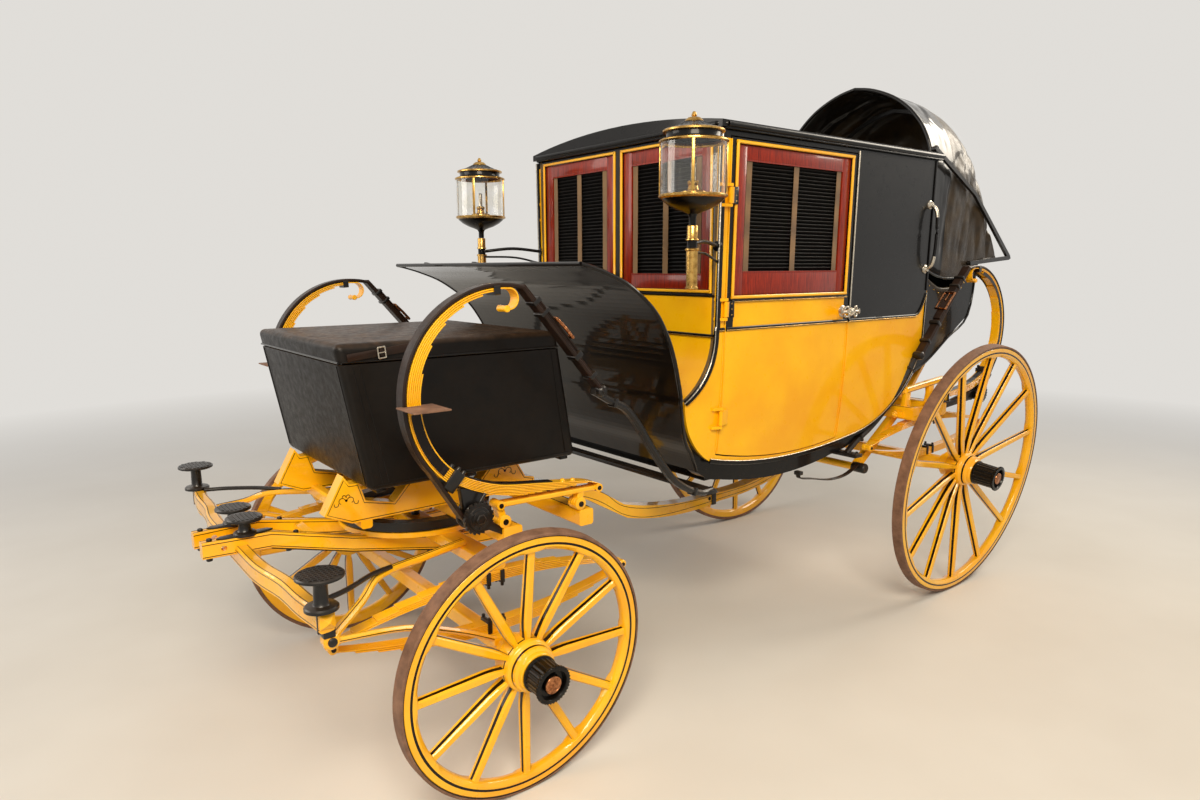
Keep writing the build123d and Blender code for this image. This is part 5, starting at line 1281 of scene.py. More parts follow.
def build_lamps():
    """Lamps with ribbed caps, brass bars, a burner inside, black domes and stems, and brass candle tubes."""
    for name, side in SIDES:
        lamp = Piece(f"lamp_metal_{name}", BRASS, BLACK, SILVER)
        x, y = LAMP_X, side * LAMP_Y
        place = Matrix.Translation(spot(x, y, 0))
        lathe(lamp, [(0, 2206), (5, 2204), (8, 2198), (10, 2192), (7, 2188), (22, 2184), (29, 2178),
                     (33, 2172), (30, 2169)], place, 48, 0)
        lathe(lamp, [(30, 2171), (40, 2167), (58, 2158), (76, 2150), (92, 2146), (98, 2144), (104, 2144),
                     (108, 2141), (108, 2136), (104, 2134), (96, 2134)], place, 112,
              [1, 1, 1, 1, 1, 0, 0, 0, 0, 0], rib_cap)
        lathe(lamp, [(96, 2135), (96, 2118), (100, 2112)], place, 64, 1)
        lathe(lamp, [(98, 2113), (112, 2112), (120, 2108), (121, 2104), (118, 2100), (112, 2100), (110, 2106),
                     (98, 2107)], place, 64, 0)
        lathe(lamp, [(110, 1928), (118, 1928), (121, 1924), (120, 1919), (112, 1915), (104, 1911)], place, 64,
              0)
        lathe(lamp, [(112, 1917), (106, 1908), (88, 1893), (60, 1878), (34, 1869), (18, 1862), (13, 1852),
                     (13, 1824), (0, 1824)], place, 56, 1)
        lathe(lamp, [(0, 1823), (17, 1823), (19, 1820), (19, 1779), (22, 1777), (23, 1773), (20, 1771),
                     (0, 1771)], place, 40, 0)
        lathe(lamp, [(0, 1772), (19, 1772), (18, 1768), (18, 1744), (0, 1744)], place, 40, 1)
        lathe(lamp, [(0, 1745), (22, 1745), (25, 1742), (25, 1738), (21, 1735), (20, 1612), (23, 1609),
                     (23, 1603), (18, 1600), (0, 1599)], place, 40, 0)
        for turn in (45, 135, 225, 315):
            way = Vector((math.cos(math.radians(turn)), math.sin(math.radians(turn)), 0))
            centre = spot(x, y, 2015) + way * 116 * MM
            turned = facing(Vector(), UP, way) @ Matrix.Rotation(math.pi / 2, 4, "Z")
            block(lamp, centre, (5, 11, 180), 0, 1, turned)
        lathe(lamp, [(0, 1930), (46, 1930), (44, 1938), (20, 1944), (16, 1958), (20, 1964), (20, 1972),
                     (14, 1976), (0, 1977)], place, 32, 0)
        lathe(lamp, [(0, 1976), (9, 1976), (9, 2034), (4, 2038), (0, 2038)], place, 20, 2)
        reach = spot(x, y - side * 18, 1758)
        root = spot(1655, side * (wall_y(1758) - 4), 1758)
        rod(lamp, smooth_path([reach, reach.lerp(root, 0.5) + mm(0, 0, 14), root], 6), 7.5, 1, 12)
        rod(lamp, smooth_path([spot(x, y - side * 18, 1732), reach.lerp(root, 0.55) - mm(0, 0, 30),
                               root - mm(0, 0, 60)], 6), 5, 1, 10)
        lathe(lamp, [(0, 0), (20, 0), (20, 5), (12, 9), (0, 10)], facing(root, reach - root), 20, 1)
        lamp.finish("root", ["lamps"])
        glass = Piece(f"lamp_glass_{name}", GLASS)
        lathe(glass, [(115.5, 1926), (115.5, 2103), (112.5, 2103), (112.5, 1926), (115.5, 1926)], place, 64)
        glass.finish("root", ["lamp_glasses"])


build_lamps()


# Rumble hood: one curved sheet of hide over bows that fan out from the rear seat's arms
# where each bow stands on the seat's rim, and its top, as (forward, up)
BOWS = (((-40, 1664), (-46, 2646)), ((-150, 1628), (-250, 2640)), ((-290, 1612), (-440, 2606)),
        ((-430, 1634), (-592, 2490)), ((-560, 1694), (-668, 2215)), ((-680, 1718), (-736, 1960)),
        ((-792, 1722), (-792, 1724)))
# a bow's own shape: share of its height, and how far out it stands
BOW_SHAPE = ((0, 486), (0.15, 488), (0.3, 488), (0.42, 488), (0.53, 487), (0.6, 478), (0.67, 458),
             (0.74, 425), (0.793, 388), (0.85, 335), (0.907, 262), (0.95, 180), (0.982, 92), (1.0, 0))
HOOD_STEPS = 12
HOOD_HALF = 500


def hood_places():
    """Rows of points, front bow first, each from the left foot over the top to the right foot."""
    feet = smooth_path([Vector((x, 0, z)) for (x, z), _ in BOWS], HOOD_STEPS)
    tops = smooth_path([Vector((x, 0, z)) for _, (x, z) in BOWS], HOOD_STEPS)
    left = smooth_path([Vector((share, y / HOOD_HALF, 0)) for share, y in BOW_SHAPE], 3)
    shape = left + [Vector((p.x, -p.y, 0)) for p in reversed(left[:-1])]
    rows = []
    for number, (foot, top) in enumerate(zip(feet, tops)):
        between = abs(math.sin(math.pi * number / (2 * HOOD_STEPS)))
        row = []
        for p in shape:
            place = foot.lerp(top, p.x)
            slack = 9 * between * math.sin(math.pi * min(1.0, p.x * 1.05)) if number < 5 * HOOD_STEPS else 0
            out = HOOD_HALF * p.y - math.copysign(slack, p.y) * min(1.0, abs(p.y) * 3)
            row.append(spot(place.x, out, place.z - slack * p.x * (1 - abs(p.y))))
        rows.append(row)
    return rows


def crease(local):
    """Folds that run with the bows and pull slantwise between them, as oiled hide does."""
    local.normal_update()
    moves = []
    for v in local.verts:
        back = (REAR_AXLE_X - v.co.x) / MM
        fold = noise.noise(Vector((v.co.x * 6 + v.co.z * 1.6, v.co.y * 4, v.co.z * 1.2)))
        fine = noise.noise(Vector((v.co.x * 16 - v.co.z * 7, v.co.y * 7 + 7, v.co.z * 7)))
        share = min(1.0, max(0.0, (back - 60) / 160)) * min(1.0, max(0.0, (v.co.z / MM - 1716) / 120 + 0.15))
        valley = 14 * math.exp(-(fold / 0.07) ** 2) + 7 * math.exp(-(fine / 0.09) ** 2)
        deep = 5 + 10 * fold - valley + 2 * fine
        moves.append((v, v.normal * max(-13, min(deep, 5)) * share * MM))
    for v, move in moves:
        v.co += move


def build_hood():
    """Hide hood over its bows, creased, with its rim, bows and feet."""
    hood = Piece("hood_hide", HOOD_HIDE, PATENT)
    rows = hood_places()
    local = bmesh.new()
    grid = [[local.verts.new(p) for p in row] for row in rows]
    for number, (a, b) in enumerate(zip(grid[:-1], grid[1:])):
        for n in range(len(a) - 1):
            face = local.faces.new((a[n], a[n + 1], b[n + 1], b[n]))
            face.material_index = 1 if number < 1.3 * HOOD_STEPS else 0
    bmesh.ops.recalc_face_normals(local, faces=local.faces)
    middle = spot(-300, 0, 2100)
    probe = max(local.faces, key=lambda f: f.calc_center_median().z)
    if probe.normal.dot(probe.calc_center_median() - middle) < 0:
        bmesh.ops.reverse_faces(local, faces=local.faces)
    crease(local)
    area = sum(face.calc_area() for face in local.faces)
    local.normal_update()
    bmesh.ops.solidify(local, geom=local.faces[:], thickness=5 * MM)
    hood.add(local)
    made = hood.finish("root", ["hood"], 60, 1)
    rim = Piece("hood_rim_and_bows", PATENT, IRON)
    front = rows[0]
    rod(rim, [p + mm(2, 0, 0) for p in front], 10, 0, 12)
    for end in (0, -1):
        rod(rim, [row[end] for row in rows[::3]], 6, 0, 10)
    rod(rim, [rows[-1][n] for n in range(0, len(rows[-1]), 6)], 6, 0, 10)
    for number in (2 * HOOD_STEPS, 4 * HOOD_STEPS):
        inner = [p.lerp(spot(-300, 0, 2000), 0.05) for p in rows[number]]
        sweep(rim, oblong(26, 10, 3), frames_along(inner, FORWARD), 1)
    rim_made = rim.finish("root", ())


# Cushions: a slightly small box swells under pressure, then takes its piping and tufts
SIM_STEPS = 20
CAP_MM = 14


def stuffed(name, centre, size, turn, material, body, nodes, tufts):
    """Cushion of a size in millimetres; tufts are (across, along) shares where buttons pull it in."""
    wide, deep, thick = size
    bm = bmesh.new()
    bmesh.ops.create_cube(bm, size=1.0, matrix=Matrix.Diagonal((wide * MM, deep * MM, thick * MM, 1)))
    bmesh.ops.bevel(bm, geom=bm.edges[:], offset=min(thick * 0.3, 26) * MM, offset_type="OFFSET", segments=3,
                    profile=0.6, affect="EDGES")
    mesh = bpy.data.meshes.new(name)
    bm.to_mesh(mesh)
    bm.free()
    pad = bpy.data.objects.new(name, mesh)
    bpy.context.scene.collection.objects.link(pad)
    remesh = pad.modifiers.new("remesh", "REMESH")
    remesh.mode = "VOXEL"
    remesh.voxel_size = 0.010
    bake_modifiers(pad)
    start = [v.co.copy() for v in pad.data.vertices]
    group = pad.vertex_groups.new(name="held")
    for v in pad.data.vertices:
        x, y = 2 * v.co.x / (wide * MM), 2 * v.co.y / (deep * MM)
        edge = max(abs(x), abs(y)) > 0.985 or v.co.z < -thick * 0.42 * MM
        pull = min((Vector((x - a, (y - b) * deep / wide)).length for a, b in tufts), default=9.0)
        weight = 1.0 if edge else max(0.0, 1 - pull * wide / 60) if v.co.z > 0 else 0.0
        if weight > 0.02:
            group.add([v.index], weight, "REPLACE")
    cloth = pad.modifiers.new("cloth", "CLOTH")
    cloth.settings.use_pressure = True
    cloth.settings.uniform_pressure_force = 4.0
    cloth.settings.effector_weights.gravity = 0.0
    cloth.settings.vertex_group_mass = "held"
    cloth.settings.quality = 4
    cloth.collision_settings.use_collision = False
    cloth.point_cache.frame_start = 1
    cloth.point_cache.frame_end = SIM_STEPS
    scene = bpy.context.scene
    for number in range(1, SIM_STEPS + 1):
        scene.frame_set(number)
    bake_modifiers(pad)
    scene.frame_set(1)
    for v, old in zip(pad.data.vertices, start):
        move = v.co - old
        if move.length > CAP_MM * MM:
            v.co = old + move.normalized() * CAP_MM * MM
    for v in pad.data.vertices:
        for a, b in tufts:
            reach = math.hypot(v.co.x - a * wide / 2 * MM, v.co.y - b * deep / 2 * MM) / MM
            if reach < 46 and v.co.z > 0:
                v.co.z -= 11 * MM * math.cos(reach / 46 * math.pi / 2) ** 2
        v.co += v.normal * 1.6 * MM * noise.noise(v.co * 14)
    pad.data.transform(Matrix.Translation(centre) @ turn)
    for face in pad.data.polygons:
        face.use_smooth = True
    smoother = pad.modifiers.new("rounding", "SUBSURF")
    smoother.levels = 1
    smoother.render_levels = 1
    pad.data.materials.append(material)
    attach(pad, body)
    if nodes:
        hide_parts(*nodes)
    trim = Piece(f"{name}_piping", material)
    for height in (0.36, -0.4):
        ring = []
        for x, y in ((0.5, 0.5), (-0.5, 0.5), (-0.5, -0.5), (0.5, -0.5)):
            cuts = ((0, -0.04), (-0.012, -0.012), (-0.04, 0))
            for dx, dy in cuts if x * y > 0 else reversed(cuts):
                ring.append(mm(x * (1 + 2 * dx) * (wide - 2), y * (1 + 2 * dy) * (deep - 2), height * thick))
        path = [centre + turn.to_3x3() @ p for p in [*ring, ring[0]]]
        rod(trim, path, 3.2, 0, 8)
    for a, b in tufts:
        button = centre + turn.to_3x3() @ mm(a * wide / 2, b * deep / 2, thick / 2 - 9)
        lathe(trim, [(0, 0), (8, 0), (8, 2), (5, 5), (0, 6)], facing(button, turn.to_3x3() @ UP), 16)
    trim.finish(body, ())


def bake_modifiers(made):
    """Gives an object the mesh that its modifiers show."""
    graph = bpy.context.evaluated_depsgraph_get()
    graph.update()
    mesh = bpy.data.meshes.new_from_object(made.evaluated_get(graph))
    old = made.data
    made.modifiers.clear()
    made.data = mesh
    mesh.name = made.name
    bpy.data.meshes.remove(old)


SEAT_WIDE = 990


def build_seats():
    """Rumble cushion, and the cabin's cloth seat with its base."""
    tufts = [(a, b) for b in (-0.45, 0.45) for a in (-0.72, -0.24, 0.24, 0.72)]
    quarter = Matrix.Rotation(math.pi / 2, 4, "Z")
    tilt = Matrix.Rotation(math.radians(3), 4, "Y")
    stuffed("rumble_cushion_hide", spot(-328, 0, 1458), (890, 300, 62), tilt @ quarter, HOOD_HIDE, "root",
            ["rumble_cushion"], tufts)
    base = Piece("cabin_seat_base", CLOTH, BLACK)
    plate(base, [(336, 1248), (634, 1244), (616, 1236), (616, 925), (584, 934), (336, 1124)], SEAT_WIDE,
          upright(0), 0, 3)
    plate(base, [(252, 1330), (204, 1756), (222, 1762), (272, 1330), (336, 1300), (336, 1130)], SEAT_WIDE,
          upright(0), 0, 3)
    base.finish("root", ["cabin_seat"])
    stuffed("cabin_seat_cushion", spot(486, 0, 1290), (980, 290, 62), quarter, CLOTH, "root", (),
            tufts)
    lean = Matrix.Rotation(math.radians(90 - 6.5), 4, "Y")
    stuffed("cabin_seat_back", spot(272, 0, 1545), (970, 400, 54), lean @ quarter, CLOTH, "root", (),
            tufts)


RUMBLE_HALF = 466


def build_rumble():
    """Rumble body: hide sides with a rolled arm, welts, a moulded foot and nail heads."""
    rumble = Piece("rumble_trim", PATENT, BRASS, HOOD_HIDE)
    rim = [(-604, 1700), (-560, 1684), (-520, 1662), (-470, 1606), (-411, 1560), (-310, 1552), (-205, 1556),
           (-110, 1596), (-20, 1640), (96, 1644)]
    for side in (1, -1):
        path = smooth_path([spot(x, side * RUMBLE_HALF, z) for x, z in rim], 4)
        rod(rumble, path, 13, 2, 14)
        low = smooth_path([spot(x, side * (RUMBLE_HALF + 11), z) for x, z in
                           ((-600, 1690), (-536, 1404), (-330, 1284), (-120, 1164), (110, 1084))], 4)
        rod(rumble, low, 6, 0, 10)
        for n in range(0, len(path) - 3, 2):
            below = path[n] + mm(0, side * 11, -20)
            lathe(rumble, [(0, 0), (4, 0), (3, 2), (0, 3)], facing(below, side * LATERAL), 10, 1)
    rod(rumble, [spot(-606, y, 1700) for y in (-RUMBLE_HALF, -230, 0, 230, RUMBLE_HALF)], 12, 2, 14)
    rumble.finish("root", ())


build_hood()
build_seats()
build_rumble()


# Undercarriage: black lines on the yellow, thin leaves, roller bolts, irons and straps
UNDER_Y = 580
UNDER_HALF = 545
UNDER_WIDE = 44
# share of the half length that each bowed leaf reaches, from the outside
UNDER_REACH = (1.0, 0.88, 0.75, 0.62, 0.48, 0.34)
UNDER_DEEP = 36
# name: middle forward of the rear axle, faces between which the pair of bows stands, and its body
ELLIPTICS = {"fore_springs": (WHEELBASE, 477, 696, "fore_carriage"), "hind_springs": (0, 691, 912, "root")}


def ahead(x, y, z):
    """A place measured forward of the kingpin."""
    return spot(WHEELBASE + x, y, z)


def painted(piece, points, across=2.4, deep=0.9, up=UP):
    """Painted line along points in metres."""
    sweep(piece, oblong(across, deep, 0.2), frames_along(points, up), 1)


def side_line(piece, points, y):
    """Thin painted line on an upright face at y, through places in metres whose y is left out."""
    painted(piece, [Vector((p.x, y * MM, p.z)) for p in points], 2.2, up=LATERAL)


def build_elliptic(name):
    """Two pairs of bowed springs of thin leaves, with eyes, seats and black clips."""
    x, low_z, top_z, body = ELLIPTICS[name]
    middle, half = (low_z + top_z) / 2, (top_z - low_z) / 2
    rise = half - 45
    thick = UNDER_DEEP / len(UNDER_REACH)
    springs = Piece(f"{name}_leaves", YELLOW, LINING_AND_SHADE, IRON)
    for _, side in SIDES:
        y = side * UNDER_Y
        for way in (1, -1):
            for leaf, share in enumerate(UNDER_REACH):
                points = []
                for n in range(17):
                    across = share * (n / 8 - 1)
                    out = 6 + rise * (1 - across * across) + (leaf + 0.5) * thick
                    points.append(spot(x + across * UNDER_HALF, y, middle + way * out))
                flat(springs, points, thick - 1.5, UNDER_WIDE - leaf * 0.4, 0, 0.8)
            block(springs, spot(x, y, middle + way * (half - 8)), (92, UNDER_WIDE, 14), 0, 2)
            for along_x in (-26, 26):
                block(springs, spot(x + along_x, y, middle + way * (half - 26)), (16, UNDER_WIDE + 10, 46), 2,
                      3)
                for out in (-1, 1):
                    pin(springs, spot(x + along_x, y + out * 20, middle + way * (half - 50)),
                        Vector((0, 0, -way)), 6, 10, 2, 3)
        for end in (-1, 1):
            eye = spot(x + end * UNDER_HALF, y, middle)
            lathe(springs, [(0, -25), (13, -25), (16, -22), (16, -8), (14, -7), (14, 7), (16, 8), (16, 22),
                            (13, 25), (0, 25)], facing(eye, LATERAL), 24)
            lathe(springs, [(0, -29), (7, -28), (8, -25), (8, 25), (7, 28), (0, 29)], facing(eye, LATERAL),
                  16, 1)
    springs.finish(body, [name])


# Splinter bar and its roller bolts
BAR_PLACES = ((610, 762), (616, 700), (624, 610), (628, 470), (646, 340), (652, 250), (652, 90))
BAR_DEEP = 43
BAR_TALL = 63
BAR_Z = 752
# roller bolts: forward of the kingpin, across, foot's height, flange radius, disc's underside, disc radius
ROLLERS = ((617, 747, 784, 46, 872, 65), (636, 70, 812, 36, 862, 58))


def build_roller(piece, x, y, foot, flange_r, disc_z, disc_r):
    """Black roller bolt: flange, waisted post and a disc with a cast grip on top."""
    place = Matrix.Translation(ahead(x, y, 0))
    lathe(piece, [(0, foot), (flange_r, foot), (flange_r, foot + 8), (flange_r - 4, foot + 12),
                  (24, foot + 14), (20, foot + 20), (19, disc_z - 10), (24, disc_z - 2), (disc_r - 6, disc_z),
                  (disc_r, disc_z + 3), (disc_r, disc_z + 9), (disc_r - 3, disc_z + 12), (0, disc_z + 12)],
          place, 48, 2)
    step = 13
    count = int(disc_r / step)
    for row in range(-count, count + 1):
        for column in range(-count, count + 1):
            if math.hypot(row * step, column * step) < disc_r - 9:
                block(piece, ahead(x + row * step, y + column * step, disc_z + 12.5), (9, 9, 3), 2, 0)


def build_splinter_bar():
    """Curved bar with eased edges, black lines, pointed ends and four roller bolts."""
    bar = Piece("splinter_bar_dressed", YELLOW, LINING_AND_SHADE, IRON)
    places = [(x, -y) for x, y in BAR_PLACES] + [(x, y) for x, y in reversed(BAR_PLACES)]
    path = smooth_path([ahead(x, y, BAR_Z) for x, y in places], 4)
    sweep(bar, oblong(BAR_DEEP, BAR_TALL, 5), frames_along(path), 0)
    for rise, out in ((BAR_TALL / 2 + 0.2, 14), (BAR_TALL / 2 + 0.2, -14)):
        moved = [p + mm(out, 0, rise) for p in path]
        painted(bar, moved)
    for way in (1, -1):
        for height in (20, -20):
            moved = [p + mm(way * (BAR_DEEP / 2 + 0.2), 0, height) for p in path]
            painted(bar, moved, 0.9, 2.4)
    for side in (1, -1):
        tip = facing(ahead(610, side * 762, BAR_Z + 2), side * LATERAL) @ Matrix.Rotation(math.pi / 4, 4, "Z")
        lathe(bar, [(0, 0), (30, 0), (30, 5), (27, 6), (0, 25)], tip, 4, 0)
        block(bar, ahead(610, side * 752, BAR_Z), (48, 10, 68), 2, 2)
        for roller in ROLLERS:
            build_roller(bar, roller[0], side * roller[1], *roller[2:])
        strap = [(-89, 0), (-74, 15), (-30, 19), (0, 26), (30, 19), (74, 15), (89, 0), (74, -15), (30, -19),
                 (0, -26), (-30, -19), (-74, -15)]
        plate(bar, strap, 5, Matrix.Translation(ahead(636, side * 68, 814)), 2, 1)
    bar.finish("fore_carriage", ["splinter_bar"])


# futchell places as in the frame: forward of the kingpin, across, height
FUTCHELLS = ((770, 62, 784), (560, 80, 784), (300, 118, 724), (-60, 150, 660), (-290, 170, 660))
WHEEL_IRONS = ((596, 740, 690), (470, 640, 726), (380, 570, 764), (200, 495, 757), (24, 430, 750))
LOWER_IRONS = ((596, 744, 684), (365, 700, 637), (180, 672, 562), (20, 642, 474))


def build_futchell_lines():
    """Black lines along the futchells, bolts through them, and the irons from the bar's ends."""
    lines = Piece("futchell_lines", YELLOW, LINING_AND_SHADE, IRON)
    for _, side in SIDES:
        points = [ahead(x, side * y, z) for x, y, z in FUTCHELLS]
        for face in (1, -1):
            for height in (20, -20):
                moved = [p + mm(0, face * 19.3, height) for p in points]
                painted(lines, moved, up=LATERAL)
        for out in (-11, 11):
            moved = [p + mm(0, out, 28.3) for p in points]
            painted(lines, moved, 2.2, 0.9)
        sweep(lines, oblong(36, 3, 1), frames_along([p - mm(0, 0, 28.6) for p in points[1:4]]), 1)
        for x, y, z in ((748, 64, 755), (505, 88, 743)):
            pin(lines, ahead(x, side * y, z), Vector((0, 0, -1)), 10, 12, 2, 4)
        for x, y, z in ((745, 64, 812), (480, 93, 793)):
            pin(lines, ahead(x, side * y, z - 1), UP, 9, 10, 2, 4)
    lines.finish("fore_carriage", ())

    irons = Piece("wheel_irons", YELLOW, LINING_AND_SHADE, IRON)
    for _, side in SIDES:
        upper = smooth_path([ahead(x, side * y, z) for x, y, z in WHEEL_IRONS], 5)
        sizes = [(1 - 0.12 * math.sin(math.pi * n / (len(upper) - 1)),) * 2 for n in range(len(upper))]
        sweep(irons, oblong(28, 24, 7), frames_along(upper, UP, sizes), 0)
        for out in (-6, 6):
            moved = [p + mm(0, out, 11.6) for p in upper]
            sweep(irons, oblong(2, 1.6, 0.3), frames_along(moved), 1)
        lower = smooth_path([ahead(x, side * y, z) for x, y, z in LOWER_IRONS], 5)
        sweep(irons, oblong(20, 18, 6), frames_along(lower), 0)
        moved = [p + mm(0, side * 9.6, 0) for p in lower]
        sweep(irons, oblong(1.4, 3, 0.3), frames_along(moved), 1)
        eye = ahead(598, side * 742, 688)
        lathe(irons, [(0, -18), (19, -18), (23, -14), (23, 14), (19, 18), (0, 18)], facing(eye, LATERAL), 24,
              0)
        lathe(irons, [(0, 18), (13, 18), (13, 22), (9, 25), (0, 26)], facing(eye, side * LATERAL), 20, 2)
        block(irons, ahead(604, side * 742, 712), (34, 40, 22), 2, 4)
        block(irons, ahead(20, side * 642, 474), (44, 36, 26), 0, 4)
        rail = smooth_path([ahead(600, side * 700, 786), ahead(520, side * 668, 786),
                            ahead(420, side * 602, 785), ahead(340, side * 556, 776)], 5)
        rod(irons, rail, 8, 2, 10)
    irons.finish("fore_carriage", ["fore_stays"])


def inset(outline, by):
    """The outline moved inwards by a distance."""
    made = []
    count = len(outline)
    area = sum(outline[n - 1][0] * outline[n][1] - outline[n][0] * outline[n - 1][1] for n in range(count))
    turn = 1 if area > 0 else -1
    for n in range(count):
        a, b, c = (Vector(outline[k % count]) for k in (n - 1, n, n + 1))
        before, after = (b - a).normalized(), (c - b).normalized()
        normal = (Vector((-before.y, before.x)) + Vector((-after.y, after.x))) * turn
        normal.normalize()
        lean = max(0.45, normal.dot(Vector((-before.y, before.x)) * turn))
        made.append(b + normal * by / lean)
    return made


def flourish(piece, x, y, z, out, size):
    """Small painted scrollwork on an upright face."""
    for way in (1, -1):
        for middle_x, middle_z, radius, start, turn in ((0.5, 0.15, 0.42, 180, -250),
                                                        (1.15, -0.1, 0.3, 160, 230),
                                                        (0.25, 0.6, 0.25, 200, -200)):
            points = []
            for n in range(13):
                angle = math.radians(start + turn * n / 12)
                reach = radius * (1 - 0.35 * n / 12)
                points.append(spot(x + way * size * (middle_x + reach * math.cos(angle)), y + out * 0.4,
                                   z + size * (middle_z + reach * math.sin(angle))))
            painted(piece, points, 2.2, 1.0, LATERAL)
    pin(piece, spot(x, y, z + size * 0.2), out * LATERAL, size * 0.14, 1.2, 1)


def carving(piece, base, way, size):
    """Carved leaf at the end of a bar: fanned lobes round a bud."""
    profile = [(0, -0.5), (0.16, -0.32), (0.2, 0), (0.13, 0.34), (0, 0.5)]
    for lift, spread in ((0, 0), (0.6, 0), (-0.6, 0), (0.3, 0.5), (0.3, -0.5), (-0.3, 0.5), (-0.3, -0.5)):
        along_way = (way + Vector((0, spread, lift))).normalized()
        long = size * (1 if lift == spread == 0 else 0.72)
        lathe(piece, [(r * long, h * long) for r, h in profile],
              facing(base + along_way * 0.42 * long * MM, along_way), 12)


FORE_CHEEK = ((-370, 844), (350, 844), (440, 884), (372, 1008), (352, 978), (320, 978), (300, 914),
              (200, 890), (120, 978), (60, 978), (-20, 894), (-120, 894), (-200, 978), (-280, 978),
              (-330, 894), (-370, 884))
PERCH_TOP = ((2340, 838), (1816, 690), (1640, 580), (1387, 530), (1000, 523), (700, 545), (420, 628),
             (40, 708))
PERCH_LOW = ((2330, 812), (1850, 662), (1620, 532), (1387, 490), (1000, 499), (700, 523), (400, 601),
             (20, 694))


def build_bed_lines():
    """Lines and scrolls on the beds and the perch, the perch's band, and the hind cross bar's black ends."""
    lines = Piece("bed_lines", YELLOW, LINING_AND_SHADE, IRON, HARNESS)
    for _, side in SIDES:
        for y in (side * 250 + 26.3, side * 250 - 26.3):
            ring = [Vector((*p, 0)) for p in inset(FORE_CHEEK, 7)]
            points = [ahead(p.x, y, p.y) for p in [*ring, ring[0]]]
            painted(lines, points, up=LATERAL)
        flourish(lines, WHEELBASE - 240, side * 276.4, 922, side, 34)
        flourish(lines, WHEELBASE + 366, side * 276.4, 920, side, 30)
        for places in (PERCH_TOP, PERCH_LOW):
            points = smooth_path([spot(x, side * 32.3, z) for x, z in places], 6)
            painted(lines, points, up=LATERAL)
        for x, top in ((-40, 853.3), (-337, 853.3)):
            for out in (-24, 24):
                rod(lines, [ahead(x + out, side * y, top) for y in (290, 640)], 1.2, 1, 6)
        for x in (0, 250):
            for out in (-27, 27) if not x else (-20, 20):
                rod(lines, [spot(x + out, side * y, 976.2) for y in (60, 640)], 1.2, 1, 6)
        carving(lines, spot(302, side * UNDER_Y, 940), FORWARD, 46)
        carving(lines, spot(236, side * UNDER_Y, 1056), Vector((1, 0, -0.1)), 46)
        handle = [spot(x, side * UNDER_Y, z) for x, z in ((-128, 1084), (60, 1070), (236, 1056))]
        flat(lines, handle, 30, 32, 0, 5)
        side_line(lines, [p + mm(0, 0, 9) for p in handle], side * (UNDER_Y + 16.2))
        side_line(lines, [p - mm(0, 0, 9) for p in handle], side * (UNDER_Y + 16.2))
        carving(lines, spot(-124, side * UNDER_Y, 1084), Vector((-1, 0, 0.1)), 40)
        for x, z in ((4, 1022), (224, 1012)):
            plate(lines, [(x - 34, 972), (x + 34, 972), (x + 20, z), (x + 26, 1062), (x - 26, 1064),
                          (x - 20, z)], 24, upright(side * UNDER_Y), 0, 2)
        lathe(lines, [(0, 0), (23, 0), (25, 4), (25, 66), (22, 71), (0, 72)],
              facing(spot(556, side * 514, 696), side * LATERAL), 32, 2)
        strap = smooth_path([spot(x, side * 552, z) for x, z in ((1036, 752), (1030, 724), (942, 706),
                                                                 (802, 678), (680, 680), (580, 714))], 5)
        flat(lines, strap, 5, 24, 3, 1.5)
        block(lines, spot(1036, side * 552, 748), (26, 34, 18), 2, 3)
    block(lines, spot(1045, 0, 510), (30, 77, 69), 2, 4)
    for side in (1, -1):
        pin(lines, spot(1075, side * 32, 512), side * LATERAL, 9, 5, 1, 2)
    lines.finish("root", ())


# loops that the braces hang the body from: forward of the rear axle, across, height, size
FRONT_IRON = ((2276, 626, 1258, 1.0), (2200, 626, 1216, 1.1), (2130, 626, 1180, 1.2), (2064, 626, 1104, 1.2),
              (2000, 626, 1010, 1.2), (1886, 624, 874, 1.2), (1755, 618, 802, 1.1), (1650, 600, 788, 1.0))
REAR_IRON = ((214, 622, 1244, 1.0), (236, 600, 1190, 1.1), (290, 578, 1092, 1.2), (400, 560, 962, 1.2),
             (500, 556, 892, 1.2), (600, 556, 842, 1.1), (690, 560, 790, 1.0))


def build_body_irons():
    """Forged loops under the body's corners, with collars, and the cross bars that join them."""
    irons = Piece("body_irons_dressed", IRON)
    for _, side in SIDES:
        for loop in (FRONT_IRON, REAR_IRON):
            path = smooth_path([spot(x, side * y, z) for x, y, z, _ in loop], 5)
            sizes = smooth_path([Vector((size, size, 0)) for *_, size in loop], 5)
            sweep(irons, oblong(22, 30, 7), frames_along(path, LATERAL, [(s.x, s.y) for s in sizes]), 0)
            for n in (6, len(path) - 7):
                way = path[n + 1] - path[n]
                block(irons, path[n], (34, 42, 14), 0, 4, facing(Vector(), way, LATERAL))
    for x, z in ((1672, 788), (676, 786)):
        block(irons, spot(x, 0, z), (56, 1250, 18), 0, 4)
        for _, side in SIDES:
            for out in (-16, 16):
                pin(irons, spot(x + out, side * 600, z + 7), UP, 7, 9, 0, 4)
    irons.finish("root", ["body_irons"])


build_body_irons()
for name in ELLIPTICS:
    build_elliptic(name)
build_splinter_bar()
build_futchell_lines()
build_bed_lines()


